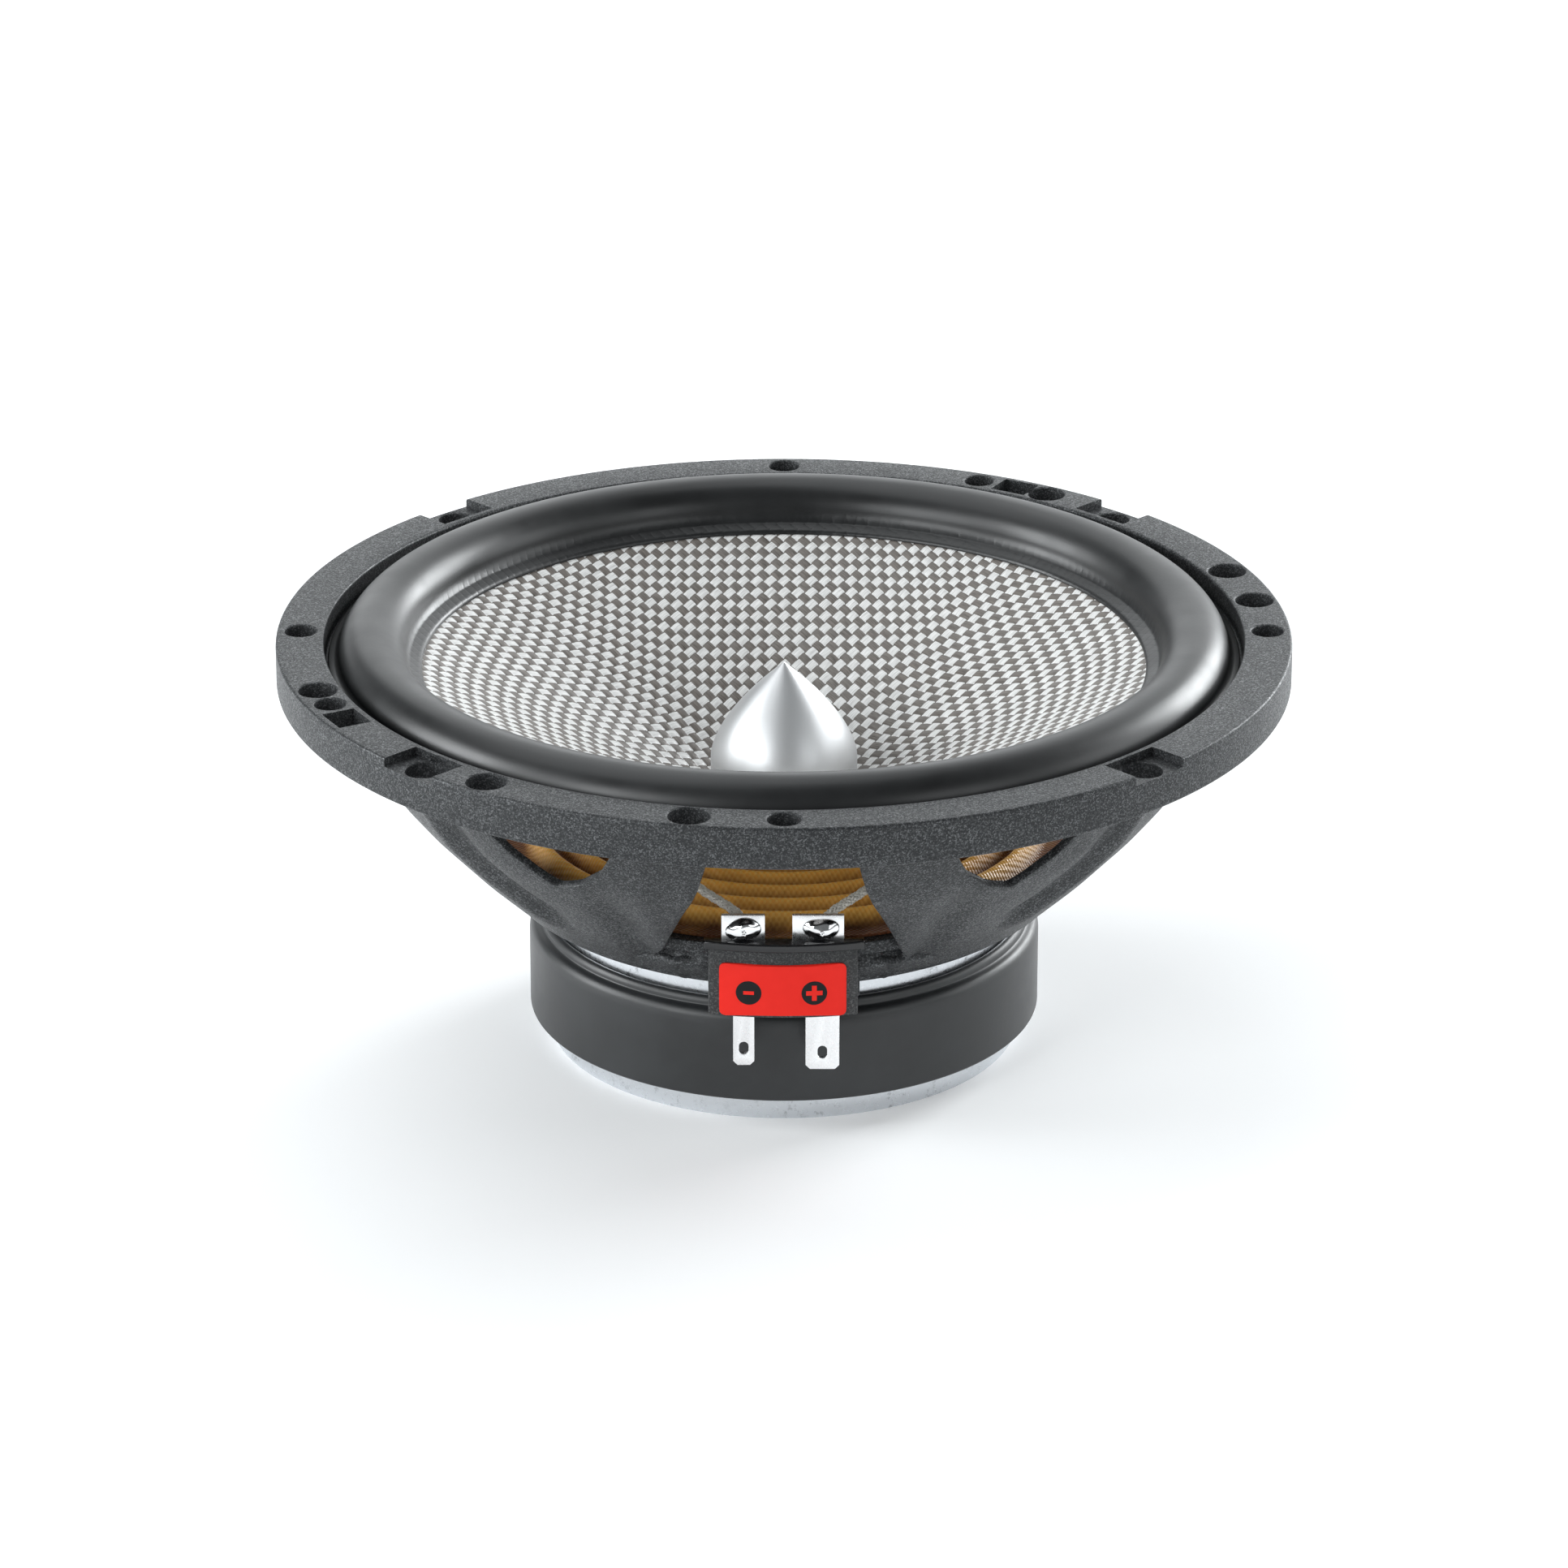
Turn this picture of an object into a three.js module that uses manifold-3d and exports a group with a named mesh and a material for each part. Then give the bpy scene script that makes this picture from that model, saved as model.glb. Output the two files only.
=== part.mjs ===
// 165 mm mid-bass car loudspeaker: die-cast basket, half-roll rubber surround, woven cone,
// fixed phase plug, ferrite motor in a rubber boot, and a two-tab terminal block.
// Millimetres, +Z up and out of the cone, origin at the centre of the back plate's rear face.
// The terminals are on the -Y side.
import * as THREE from 'three';
import { mergeVertices } from 'three/addons/utils/BufferGeometryUtils.js';
import Module from 'manifold-3d';

const wasm = await Module();
wasm.setup();

// ---- driving dimensions ----
const SEGMENTS = 40;           // around a turned piece
const BASKET_SEGMENTS = 60;
const GAP = 0.15;              // room kept between pieces that touch

const BACK_PLATE_T = 4.5;
const FERRITE_T = 14.8;
const TOP_PLATE_T = 4.5;
const PLATE_R = 38.6;
const FERRITE_R = 40;
const FERRITE_BORE_R = 20;
const POLE_R = 12.1;
const GAP_BORE_R = 14.2;       // hole in the top plate round the coil
const BOOT_R = 42;

const FLANGE_TOP = 69.3;       // mounting flange
const FLANGE_T = 6.9;
const FLANGE_R = 82.5;
const FLANGE_INNER_R = 74.7;
const HOLE_CIRCLE_R = 78.6;
const LIP_SEAT_Z = 65.3;       // step inside the flange, under the surround's lip
const LIP_SEAT_R = 69.8;
const ROUND_HOLES = [          // [angle, radius]
  [0, 2.6], [10.2, 3.15], [20.4, 3.15], [55.1, 3.15], [64.7, 2.5], [90, 2.6], [180, 2.6],
  [-156.1, 2.5], [-160.7, 3.1], [-125.7, 3.2], [-100.6, 3.3], [-90, 2.6],
];
const SQUARE_HOLES = [59.7, -151.2];  // angles
const SQUARE_HOLE = [5.5, 6.4];       // radial by tangential
const RECESSES = [45, 135, -45, -135];
const RECESS_W = 10.9;
const RECESS_DEPTH = 1.45;
const RECESS_SLOT_R = 3;       // the slotted hole in each recess
const RECESS_SLOT_REACH = 0.4;

const LEDGE_TOP = 34.4;        // spider landing
const LEDGE_T = 2.2;
const LEDGE_INNER_R = 42.5;
const FLOOR_T = 2.4;           // basket floor on the top plate
const FLOOR_INNER_R = 26;

// the bowl's wall, [radius, height], from the flange down
const BOWL_OUTER = [
  [73.5, FLANGE_TOP - FLANGE_T], [71.4, 59.6], [69.2, 55.3], [65.4, 48.3],
  [60.8, 42.6], [53.3, 34.6], [46.5, 28.2],
];
const BOWL_INNER = [[LIP_SEAT_R, 61.5], [66.6, 54.4], [63, 48.1], [58.6, 42.6], [51.4, LEDGE_TOP + 0.6]];

// window outlines as [across, height], each cut straight outwards at its own angle
const MAIN_WINDOW = [
  [-17.6, 36.6], [-15.2, 43.2], [-12.6, 51.4], [-11.2, 60.2],
  [11.2, 60.2], [12.6, 51.4], [15.2, 43.2], [17.6, 36.6],
];
const MAIN_WINDOWS = [-90, 90, 0, 180];
const CORNER_WINDOW = [
  [1, 47.2], [-4, 48.9], [-8.6, 52.2], [-11.6, 56.2], [-12.8, 60.2], [15, 60.2], [8.6, 52.6],
];
const CORNER_WINDOWS = [[-57.5, false], [-122.5, true], [122.5, false], [57.5, true]];  // [angle, mirrored]
const PAD = { x: [-12, 12], z: [25, LEDGE_TOP], backY: -43 };  // seat of the terminal block
const PAD_CLEARING = { x: [-13.4, 13.4], z: [20, 40] };

const ROLL_CENTRE_R = 67;      // surround half roll
const ROLL_R = 5.5;
const ROLL_FOOT = 66.3;
const RUBBER_T = 0.9;
const LIP_T = 0.6;             // its inner lip on the cone
const LIP_OUTER_R = 74.1;

const WEAVE_EDGE_R = 58.9;     // where the surround's inner lip ends on the cone
const WEAVE_EDGE_Z = 63.9;
const NECK_R = 13.2;
const CONE_DEPTH = 22.5;
const CONE_T = 0.7;
const CONE_EDGE_SHARE = 0.857; // share of the depth taken linearly, the rest is curved

const FORMER_R = 12.5;
const FORMER_T = 0.4;
const COIL_T = 0.65;
const COIL_LENGTH = 12;
const FORMER_TOP = 42.6;
const FORMER_TAIL = 0.8;       // former below the winding

const SPIDER_Z = 36;
const SPIDER_CREST_R = 25.4;   // first crest
const SPIDER_PITCH = 5.2;
const SPIDER_AMP = 1.3;
const SPIDER_T = 0.5;
const SPIDER_RIM_R = 46;

const PLUG_R = 12;
const PLUG_SHOULDER = 47.5;
const PLUG_TIP = 63.9;
const PLUG_POWER = 1.587;      // fullness of the bullet nose

const BLOCK_FRONT_R = 49.2;    // terminal block, curved about the axis
const BLOCK_BACK_Y = -46.3;
const BLOCK_X = [-12, 11.7];
const BLOCK_Z = [22.6, 34];
const SHELF_T = 1.4;           // it oversails the block at the front and the sides
const SHELF_X = [-12.8, 12.8];
const SHELF_OVERSAIL = 0.4;
const STRIP_Y = -47;           // tab, lug and foot of each terminal strip
const STRIP_T = 0.8;
const STRIPS = {
  minus: { lug: [-9.9, -3], tab: [-8.1, -4.7], foot: 13.6, lead: -6.4 },
  plus: { lug: [1.3, 9.5], tab: [3.4, 8.8], foot: 12.9, lead: 5.9 },
};
const LUG_Z = [BLOCK_Z[1] + SHELF_T + 0.1, 39.6];
const TAB_CORNER = 0.7;
const DIMPLE = { r: 0.75, low: 2.7, high: 3.3 };  // slot in each tab, heights above its foot
const WIRE_HOLE_Z = 37.3;
const WIRE_HOLE_R = 0.9;
const SOLDER_R = 2;            // a dome, flattened towards the lug
const LABEL = { x: [-10.2, 9.8], z: [22.95, 31.9], corner: 0.8, thickness: 0.35 };

const RIVET_X = -0.8;          // two rivets hold the block to the basket
const RIVET_Z = [25.8, 30.1];
const RIVET_R = 1;
const RIVET_HEAD_R = 1.9;
const RIVET_HEAD_H = 0.7;
const RIVET_Y = [-42.9, -48.1];  // under the back head, under the front head

const SCREW_ANGLES = [45, 135, 225, 315];  // basket to top plate
const SCREW_CIRCLE_R = 31;
const SCREW_R = 1.5;
const SCREW_HEAD_R = 2.9;
const SCREW_HEAD_H = 1.7;
const SCREW_LENGTH = 6;
const SOCKET_R = 1.2;          // hexagon socket in each head
const PLUG_SCREW_R = 2;
const PLUG_SCREW_HEAD_R = 4;
const PLUG_SCREW_SOCKET_R = 1.5;
const PLUG_SCREW_BITE = 8;     // how far it reaches into the plug

const LEAD_R = 0.65;           // from the back of each lug to the underside of the cone
const LEAD_ROUTES = {
  minus: [
    [-6.4, -46.05, 36.6], [-6.6, -45.6, 37.9], [-8.2, -44.3, 39.2], [-13.4, -40, 41],
    [-18.5, -34.6, 43.2], [-22, -30, 45.8], [-23.6, -27, 48.6], [-24, -25.6, 51.3],
  ],
  plus: [
    [5.9, -46.05, 36.6], [6.2, -45.6, 37.9], [7.9, -44.3, 39.2], [13.2, -40, 41],
    [18.5, -34.6, 43.2], [22, -30, 45.8], [23.6, -27, 48.6], [24, -25.6, 51.3],
  ],
};

const TOP_PLATE_Z = BACK_PLATE_T + FERRITE_T;
const MOTOR_TOP = TOP_PLATE_Z + TOP_PLATE_T;
const FLANGE_BOTTOM = FLANGE_TOP - FLANGE_T;
const ROLL_INNER_R = ROLL_CENTRE_R - ROLL_R;
const COIL_CENTRE = TOP_PLATE_Z + TOP_PLATE_T / 2;
const FORMER_BOTTOM = COIL_CENTRE - COIL_LENGTH / 2 - FORMER_TAIL;
const DEG = Math.PI / 180;

// ---- solids ----
function indexed(geometry) {
  const bare = geometry.index ? geometry.toNonIndexed() : geometry.clone();
  bare.deleteAttribute('normal');
  bare.deleteAttribute('uv');
  const merged = mergeVertices(bare, 1e-4);
  const position = Float32Array.from(merged.attributes.position.array);
  const corners = [];
  for (let i = 0; i < merged.index.count; i += 3) {
    const [a, b, c] = [0, 1, 2].map((k) => merged.index.array[i + k]);
    if (a !== b && b !== c && c !== a) corners.push([a, b, c]);
  }
  return { position, corners };
}

function signedVolume({ position, corners }) {
  const at = (i) => new THREE.Vector3().fromArray(position, 3 * i);
  return corners.reduce((sum, [a, b, c]) => sum + at(a).dot(at(b).cross(at(c))), 0);
}

function solid(geometry) {
  const shape = indexed(geometry);
  const flip = signedVolume(shape) < 0;
  const triVerts = Uint32Array.from(shape.corners.flatMap(([a, b, c]) => (flip ? [a, c, b] : [a, b, c])));
  return new wasm.Manifold(new wasm.Mesh({ numProp: 3, vertProperties: shape.position, triVerts }));
}

function toGeometry(manifold) {
  const mesh = manifold.getMesh();
  const geometry = new THREE.BufferGeometry();
  geometry.setAttribute('position', new THREE.BufferAttribute(Float32Array.from(mesh.vertProperties), 3));
  geometry.setIndex(new THREE.BufferAttribute(Uint32Array.from(mesh.triVerts), 1));
  geometry.computeVertexNormals();
  return geometry;
}

// a closed [radius, height] outline turned about Z
function turned(outline, segments = SEGMENTS) {
  const points = [...outline, outline[0]].map(([r, z]) => new THREE.Vector2(r, z));
  return solid(new THREE.LatheGeometry(points, segments).rotateX(Math.PI / 2));
}

function box([x0, x1], [y0, y1], [z0, z1]) {
  const geometry = new THREE.BoxGeometry(x1 - x0, y1 - y0, z1 - z0);
  return solid(geometry.translate((x0 + x1) / 2, (y0 + y1) / 2, (z0 + z1) / 2));
}

// an [x, z] outline, with holes, extruded along Y between two planes
function slab(outline, y0, y1, holes = []) {
  const shape = new THREE.Shape(outline.map(([x, z]) => new THREE.Vector2(x, z)));
  shape.holes = holes;
  const geometry = new THREE.ExtrudeGeometry(shape, { depth: y1 - y0, bevelEnabled: false, curveSegments: 6 });
  return solid(geometry.rotateX(Math.PI / 2).translate(0, y1, 0));
}

function peg(x, y, z0, z1, radius, sides = 14) {
  const geometry = new THREE.CylinderGeometry(radius, radius, z1 - z0, sides);
  return solid(geometry.rotateX(Math.PI / 2).translate(x, y, (z0 + z1) / 2));
}

// yFront is the lower Y
function pegAlongY(x, z, yBack, yFront, radiusBack, radiusFront = radiusBack, sides = 16) {
  const geometry = new THREE.CylinderGeometry(radiusBack, radiusFront, yBack - yFront, sides);
  return solid(geometry.translate(x, (yBack + yFront) / 2, z));
}

function arc(centreR, centreZ, radius, from, to, steps) {
  const points = [];
  for (let i = 0; i <= steps; i += 1) {
    const angle = (from + ((to - from) * i) / steps) * DEG;
    points.push([centreR + radius * Math.cos(angle), centreZ + radius * Math.sin(angle)]);
  }
  return points;
}

const aboutAxis = (manifold, degrees) => manifold.rotate([0, 0, degrees]);

// ---- scene graph ----
const speaker = new THREE.Group();

function add(name, manifold, color, roughness, metalness) {
  const mesh = new THREE.Mesh(
    toGeometry(manifold),
    new THREE.MeshStandardMaterial({ color, roughness, metalness }),
  );
  mesh.name = name;
  speaker.add(mesh);
}

// ---- basket ----
function windowCutter(outline, angle, mirrored = false) {
  const points = mirrored ? outline.map(([x, z]) => [-x, z]).reverse() : outline;
  return aboutAxis(slab(points, -90, -30), angle + 90);
}

function basket() {
  const outline = [
    [FLANGE_R, FLANGE_BOTTOM + 0.3], [FLANGE_R, FLANGE_TOP - 0.5], [FLANGE_R - 0.5, FLANGE_TOP],
    [FLANGE_INNER_R + 0.4, FLANGE_TOP], [FLANGE_INNER_R, FLANGE_TOP - 0.4],
    [FLANGE_INNER_R, LIP_SEAT_Z], [LIP_SEAT_R, LIP_SEAT_Z], ...BOWL_INNER,
    [50.2, LEDGE_TOP], [LEDGE_INNER_R, LEDGE_TOP], [LEDGE_INNER_R, LEDGE_TOP - LEDGE_T],
    [47.6, LEDGE_TOP - LEDGE_T], [43.1, 27.6],
    [41.6, MOTOR_TOP + FLOOR_T], [FLOOR_INNER_R, MOTOR_TOP + FLOOR_T],
    [FLOOR_INNER_R, MOTOR_TOP], [38.4, MOTOR_TOP], [41.4, MOTOR_TOP + 0.9], [43.4, 25.6],
    ...[...BOWL_OUTER].reverse(), [FLANGE_R - 0.3, FLANGE_BOTTOM],
  ];
  let body = turned(outline, BASKET_SEGMENTS);
  for (const angle of MAIN_WINDOWS) {
    body = body.subtract(windowCutter(MAIN_WINDOW, angle));
  }
  for (const [angle, mirrored] of CORNER_WINDOWS) {
    body = body.subtract(windowCutter(CORNER_WINDOW, angle, mirrored));
  }
  for (const [angle, radius] of ROUND_HOLES) {
    const hole = peg(HOLE_CIRCLE_R, 0, FLANGE_BOTTOM - 1, FLANGE_TOP + 1, radius);
    body = body.subtract(aboutAxis(hole, angle));
  }
  const [radial, across] = SQUARE_HOLE;
  for (const angle of SQUARE_HOLES) {
    const hole = box([HOLE_CIRCLE_R - radial / 2, HOLE_CIRCLE_R + radial / 2], [-across / 2, across / 2],
      [FLANGE_BOTTOM - 1, FLANGE_TOP + 1]);
    body = body.subtract(aboutAxis(hole, angle));
  }
  for (const angle of RECESSES) {
    const step = box([FLANGE_INNER_R + 1, FLANGE_R + 2], [-RECESS_W / 2, RECESS_W / 2],
      [FLANGE_TOP - RECESS_DEPTH, FLANGE_TOP + 1]);
    const slot = peg(HOLE_CIRCLE_R - RECESS_SLOT_REACH, 0, FLANGE_BOTTOM - 1, FLANGE_TOP, RECESS_SLOT_R)
      .add(peg(HOLE_CIRCLE_R + RECESS_SLOT_REACH, 0, FLANGE_BOTTOM - 1, FLANGE_TOP, RECESS_SLOT_R));
    body = body.subtract(aboutAxis(step.add(slot), angle));
  }
  // the terminal block's seat: a flat pad with the bowl cleared away in front of it
  const clearing = box(PAD_CLEARING.x, [-80, BLOCK_BACK_Y + GAP], PAD_CLEARING.z);
  const pad = box(PAD.x, [BLOCK_BACK_Y + GAP, PAD.backY], PAD.z);
  body = body.subtract(clearing).add(pad);
  for (const z of RIVET_Z) {
    const shank = pegAlongY(RIVET_X, z, -40, -47, RIVET_R + GAP);
    const head = pegAlongY(RIVET_X, z, PAD.backY + 5, PAD.backY - 0.05, RIVET_HEAD_R + GAP);
    body = body.subtract(shank).subtract(head);
  }
  for (const angle of SCREW_ANGLES) {
    const hole = peg(SCREW_CIRCLE_R, 0, MOTOR_TOP - 1, MOTOR_TOP + FLOOR_T + 1, SCREW_R + GAP, 16);
    body = body.subtract(aboutAxis(hole, angle));
  }
  return body;
}

add('basket', basket(), 0x46494c, 0.62, 0.35);

// ---- basket screws ----
SCREW_ANGLES.forEach((angle, i) => {
  const seat = MOTOR_TOP + FLOOR_T;
  const head = peg(SCREW_CIRCLE_R, 0, seat, seat + SCREW_HEAD_H, SCREW_HEAD_R, 16);
  const shank = peg(SCREW_CIRCLE_R, 0, seat - SCREW_LENGTH, seat + 0.1, SCREW_R, 16);
  const recess = peg(SCREW_CIRCLE_R, 0, seat + 0.7, seat + SCREW_HEAD_H + 1, SOCKET_R, 6);
  add(`basket_screw_${i + 1}`, aboutAxis(head.add(shank).subtract(recess), angle), 0xb9bcc0, 0.35, 0.9);
});

// ---- motor ----
const yoke = turned([
  [0, 0], [PLATE_R - 0.5, 0], [PLATE_R, 0.5], [PLATE_R, BACK_PLATE_T], [POLE_R, BACK_PLATE_T],
  [POLE_R, MOTOR_TOP], [0, MOTOR_TOP],
]);
const plugScrewBore = peg(0, 0, -1, MOTOR_TOP + 1, PLUG_SCREW_R + GAP, 20);
const sinkTop = PLUG_SCREW_HEAD_R + 0.3;
const plugScrewSink = turned([[0, -0.01], [sinkTop, -0.01], [PLUG_SCREW_R, 2.4], [0, 2.4]], 20);
add('back_plate_and_pole', yoke.subtract(plugScrewBore).subtract(plugScrewSink), 0xd0d3d6, 0.38, 0.85);

add('ferrite_magnet', turned([
  [FERRITE_BORE_R, BACK_PLATE_T], [FERRITE_R - 0.6, BACK_PLATE_T], [FERRITE_R, BACK_PLATE_T + 0.6],
  [FERRITE_R, TOP_PLATE_Z - 0.6], [FERRITE_R - 0.6, TOP_PLATE_Z], [FERRITE_BORE_R, TOP_PLATE_Z],
]), 0x2e2e30, 0.7, 0.2);

function topPlate() {
  let plate = turned([
    [GAP_BORE_R, TOP_PLATE_Z], [PLATE_R, TOP_PLATE_Z], [PLATE_R, MOTOR_TOP - 0.4],
    [PLATE_R - 0.4, MOTOR_TOP], [GAP_BORE_R, MOTOR_TOP],
  ]);
  for (const angle of SCREW_ANGLES) {
    const bottom = MOTOR_TOP + FLOOR_T - SCREW_LENGTH - 0.3;
    const hole = peg(SCREW_CIRCLE_R, 0, bottom, MOTOR_TOP + 1, SCREW_R + GAP, 16);
    plate = plate.subtract(aboutAxis(hole, angle));
  }
  return plate;
}
add('top_plate', topPlate(), 0xd6d9dc, 0.35, 0.85);

add('magnet_boot', turned([
  [FERRITE_R + GAP, BACK_PLATE_T + 0.1], [BOOT_R - 0.5, BACK_PLATE_T + 0.1], [BOOT_R, BACK_PLATE_T + 0.7],
  [BOOT_R, 17.9], [BOOT_R - 0.35, 19], [BOOT_R - 1.1, 19.7], [BOOT_R - 1.75, 19.75],
  [40, 20.4], [39.7, 21.1], [39.2, 21.35], [PLATE_R + 0.2, 21.2],
  [PLATE_R + 0.2, TOP_PLATE_Z + 0.1], [FERRITE_R + GAP, TOP_PLATE_Z + 0.1],
]), 0x3a3c3e, 0.5, 0);

// ---- phase plug ----
function phasePlug() {
  const outline = [[0, MOTOR_TOP], [PLUG_R - 0.4, MOTOR_TOP], [PLUG_R, MOTOR_TOP + 0.4]];
  const steps = 8;
  for (let i = 0; i < steps; i += 1) {
    const s = (i / steps) ** 0.85;
    outline.push([PLUG_R * (1 - s ** PLUG_POWER), PLUG_SHOULDER + s * (PLUG_TIP - PLUG_SHOULDER)]);
  }
  outline.push([0, PLUG_TIP]);
  return turned(outline).subtract(
    peg(0, 0, MOTOR_TOP - 1, MOTOR_TOP + PLUG_SCREW_BITE + 2, PLUG_SCREW_R + GAP, 20),
  );
}
add('phase_plug', phasePlug(), 0xc9cccf, 0.3, 0.95);

const plugScrew = turned([
  [0, 0.3], [PLUG_SCREW_HEAD_R, 0.3], [PLUG_SCREW_R, 2.2],
  [PLUG_SCREW_R, MOTOR_TOP + PLUG_SCREW_BITE], [0, MOTOR_TOP + PLUG_SCREW_BITE],
], 20).subtract(peg(0, 0, 0, 1.6, PLUG_SCREW_SOCKET_R, 6));
add('plug_screw', plugScrew, 0x8f9296, 0.4, 0.9);

// ---- suspension ----
// an open line of [radius, height] points given a wall thickness across its height
function sheet(line, thickness) {
  const below = line.map(([r, z]) => [r, z - thickness]);
  return turned([...line, ...below.reverse()]);
}

function coneTop(r) {
  const inward = (WEAVE_EDGE_R - r) / (WEAVE_EDGE_R - NECK_R);
  const bend = (1 - CONE_EDGE_SHARE) * inward * Math.abs(inward);
  return WEAVE_EDGE_Z - CONE_DEPTH * (CONE_EDGE_SHARE * inward + bend);
}

const lipOnCone = [[ROLL_INNER_R, coneTop(ROLL_INNER_R) + 0.05], [WEAVE_EDGE_R, WEAVE_EDGE_Z + 0.05]];
add('surround', turned([
  [LIP_OUTER_R, ROLL_FOOT - RUBBER_T], [LIP_OUTER_R, ROLL_FOOT],
  ...arc(ROLL_CENTRE_R, ROLL_FOOT, ROLL_R, 0, 180, 8),
  [ROLL_INNER_R, coneTop(ROLL_INNER_R) + LIP_T + 0.3],
  [WEAVE_EDGE_R, WEAVE_EDGE_Z + LIP_T], ...[...lipOnCone].reverse(),
  [ROLL_INNER_R + RUBBER_T, coneTop(ROLL_INNER_R) + 0.25],
  ...arc(ROLL_CENTRE_R, ROLL_FOOT, ROLL_R - RUBBER_T, 180, 0, 8),
  [ROLL_CENTRE_R + ROLL_R - RUBBER_T, ROLL_FOOT - RUBBER_T],
]), 0x26282a, 0.42, 0);

function cone() {
  const steps = 4;
  const line = [];
  for (let i = 0; i <= steps; i += 1) {
    const r = NECK_R + ((ROLL_INNER_R - 0.1 - NECK_R) * i) / steps;
    line.push([r, coneTop(r)]);
  }
  return sheet(line, CONE_T);
}
add('cone', cone(), 0xb5b2ad, 0.35, 0.1);

add('voice_coil_former', turned([
  [FORMER_R, FORMER_BOTTOM], [FORMER_R + FORMER_T, FORMER_BOTTOM],
  [FORMER_R + FORMER_T, FORMER_TOP], [FORMER_R, FORMER_TOP],
]), 0xa87a3c, 0.5, 0);
const coilInner = FORMER_R + FORMER_T + 0.05;
add('voice_coil_winding', turned([
  [coilInner, COIL_CENTRE - COIL_LENGTH / 2], [coilInner + COIL_T, COIL_CENTRE - COIL_LENGTH / 2],
  [coilInner + COIL_T, COIL_CENTRE + COIL_LENGTH / 2], [coilInner, COIL_CENTRE + COIL_LENGTH / 2],
]), 0xb5622e, 0.35, 0.8);

function spider() {
  const line = [[FORMER_R + FORMER_T + 0.2, SPIDER_Z]];
  const firstTrough = SPIDER_CREST_R - 1.5 * SPIDER_PITCH;
  for (let turns = 0; turns < 5; turns += 0.5) {
    line.push([firstTrough + turns * SPIDER_PITCH, SPIDER_Z - SPIDER_AMP * Math.cos(turns * 2 * Math.PI)]);
  }
  const rimZ = LEDGE_TOP + 0.05 + SPIDER_T;
  line.push([firstTrough + 5 * SPIDER_PITCH, rimZ], [SPIDER_RIM_R, rimZ]);
  return sheet(line, SPIDER_T);
}
add('spider', spider(), 0xc98a2b, 0.8, 0);

// ---- terminals ----
function strip({ lug, tab, foot, lead }) {
  const [yBack, yFront] = [STRIP_Y + STRIP_T / 2, STRIP_Y - STRIP_T / 2];
  const outline = [
    [tab[0] + TAB_CORNER, foot], [tab[1] - TAB_CORNER, foot], [tab[1], foot + TAB_CORNER],
    [tab[1], LUG_Z[0]], [lug[1], LUG_Z[0]], [lug[1], LUG_Z[1]], [lug[0], LUG_Z[1]],
    [lug[0], LUG_Z[0]], [tab[0], LUG_Z[0]], [tab[0], foot + TAB_CORNER],
  ];
  const dimple = new THREE.Path();
  const x = (tab[0] + tab[1]) / 2;
  dimple.absarc(x, foot + DIMPLE.low, DIMPLE.r, Math.PI, 2 * Math.PI);
  dimple.absarc(x, foot + DIMPLE.high, DIMPLE.r, 0, Math.PI);
  const wireHole = pegAlongY(lead, WIRE_HOLE_Z, yBack + 1, yFront - 1, WIRE_HOLE_R, WIRE_HOLE_R, 12);
  return slab(outline, yFront, yBack, [dimple]).subtract(wireHole);
}

// solder: a plug in the wire hole with a flattened dome in front
function solderJoint(lead) {
  const yFront = STRIP_Y - STRIP_T / 2;
  const dome = solid(new THREE.SphereGeometry(SOLDER_R, 16, 10).scale(1, 0.5, 0.85)
    .translate(lead, yFront - GAP, WIRE_HOLE_Z));
  const front = box([lead - 3, lead + 3], [yFront - 3, yFront - GAP], [WIRE_HOLE_Z - 3, WIRE_HOLE_Z + 3]);
  const plug = pegAlongY(lead, WIRE_HOLE_Z, STRIP_Y + STRIP_T / 2, yFront - 0.3, 0.75, 0.75, 12);
  return dome.intersect(front).add(plug);
}

function blockShape() {
  const [z0, z1] = BLOCK_Z;
  const drum = turned([[0, z0], [BLOCK_FRONT_R, z0], [BLOCK_FRONT_R, z1], [0, z1]], 144);
  const shelfR = BLOCK_FRONT_R + SHELF_OVERSAIL;
  const shelfDrum = turned([[0, z1], [shelfR, z1], [shelfR, z1 + SHELF_T], [0, z1 + SHELF_T]], 144);
  let block = drum.intersect(box(BLOCK_X, [-60, BLOCK_BACK_Y], [z0 - 1, z1 + 1]))
    .add(shelfDrum.intersect(box(SHELF_X, [-60, BLOCK_BACK_Y], [z0, z1 + 5])));
  for (const { tab } of Object.values(STRIPS)) {
    const reach = STRIP_T / 2 + GAP;
    block = block.subtract(box([tab[0] - GAP, tab[1] + GAP], [STRIP_Y - reach, STRIP_Y + reach], [10, 50]));
  }
  for (const z of RIVET_Z) {
    block = block
      .subtract(pegAlongY(RIVET_X, z, -40, -60, RIVET_R + GAP))
      .subtract(pegAlongY(RIVET_X, z, -48, -50, RIVET_HEAD_R + GAP));
  }
  return block;
}
add('terminal_block', blockShape(), 0x1b1c1e, 0.5, 0);

RIVET_Z.forEach((z, i) => {
  const [back, front] = RIVET_Y;
  const shank = pegAlongY(RIVET_X, z, back, front - 0.1, RIVET_R);
  const frontHead = pegAlongY(RIVET_X, z, front, front - RIVET_HEAD_H, RIVET_HEAD_R);
  const backHead = pegAlongY(RIVET_X, z, back + RIVET_HEAD_H, back, 1.5, RIVET_HEAD_R);
  add(`block_rivet_${i + 1}`, shank.add(frontHead).add(backHead), 0xb0b2b5, 0.4, 0.9);
});

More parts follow.
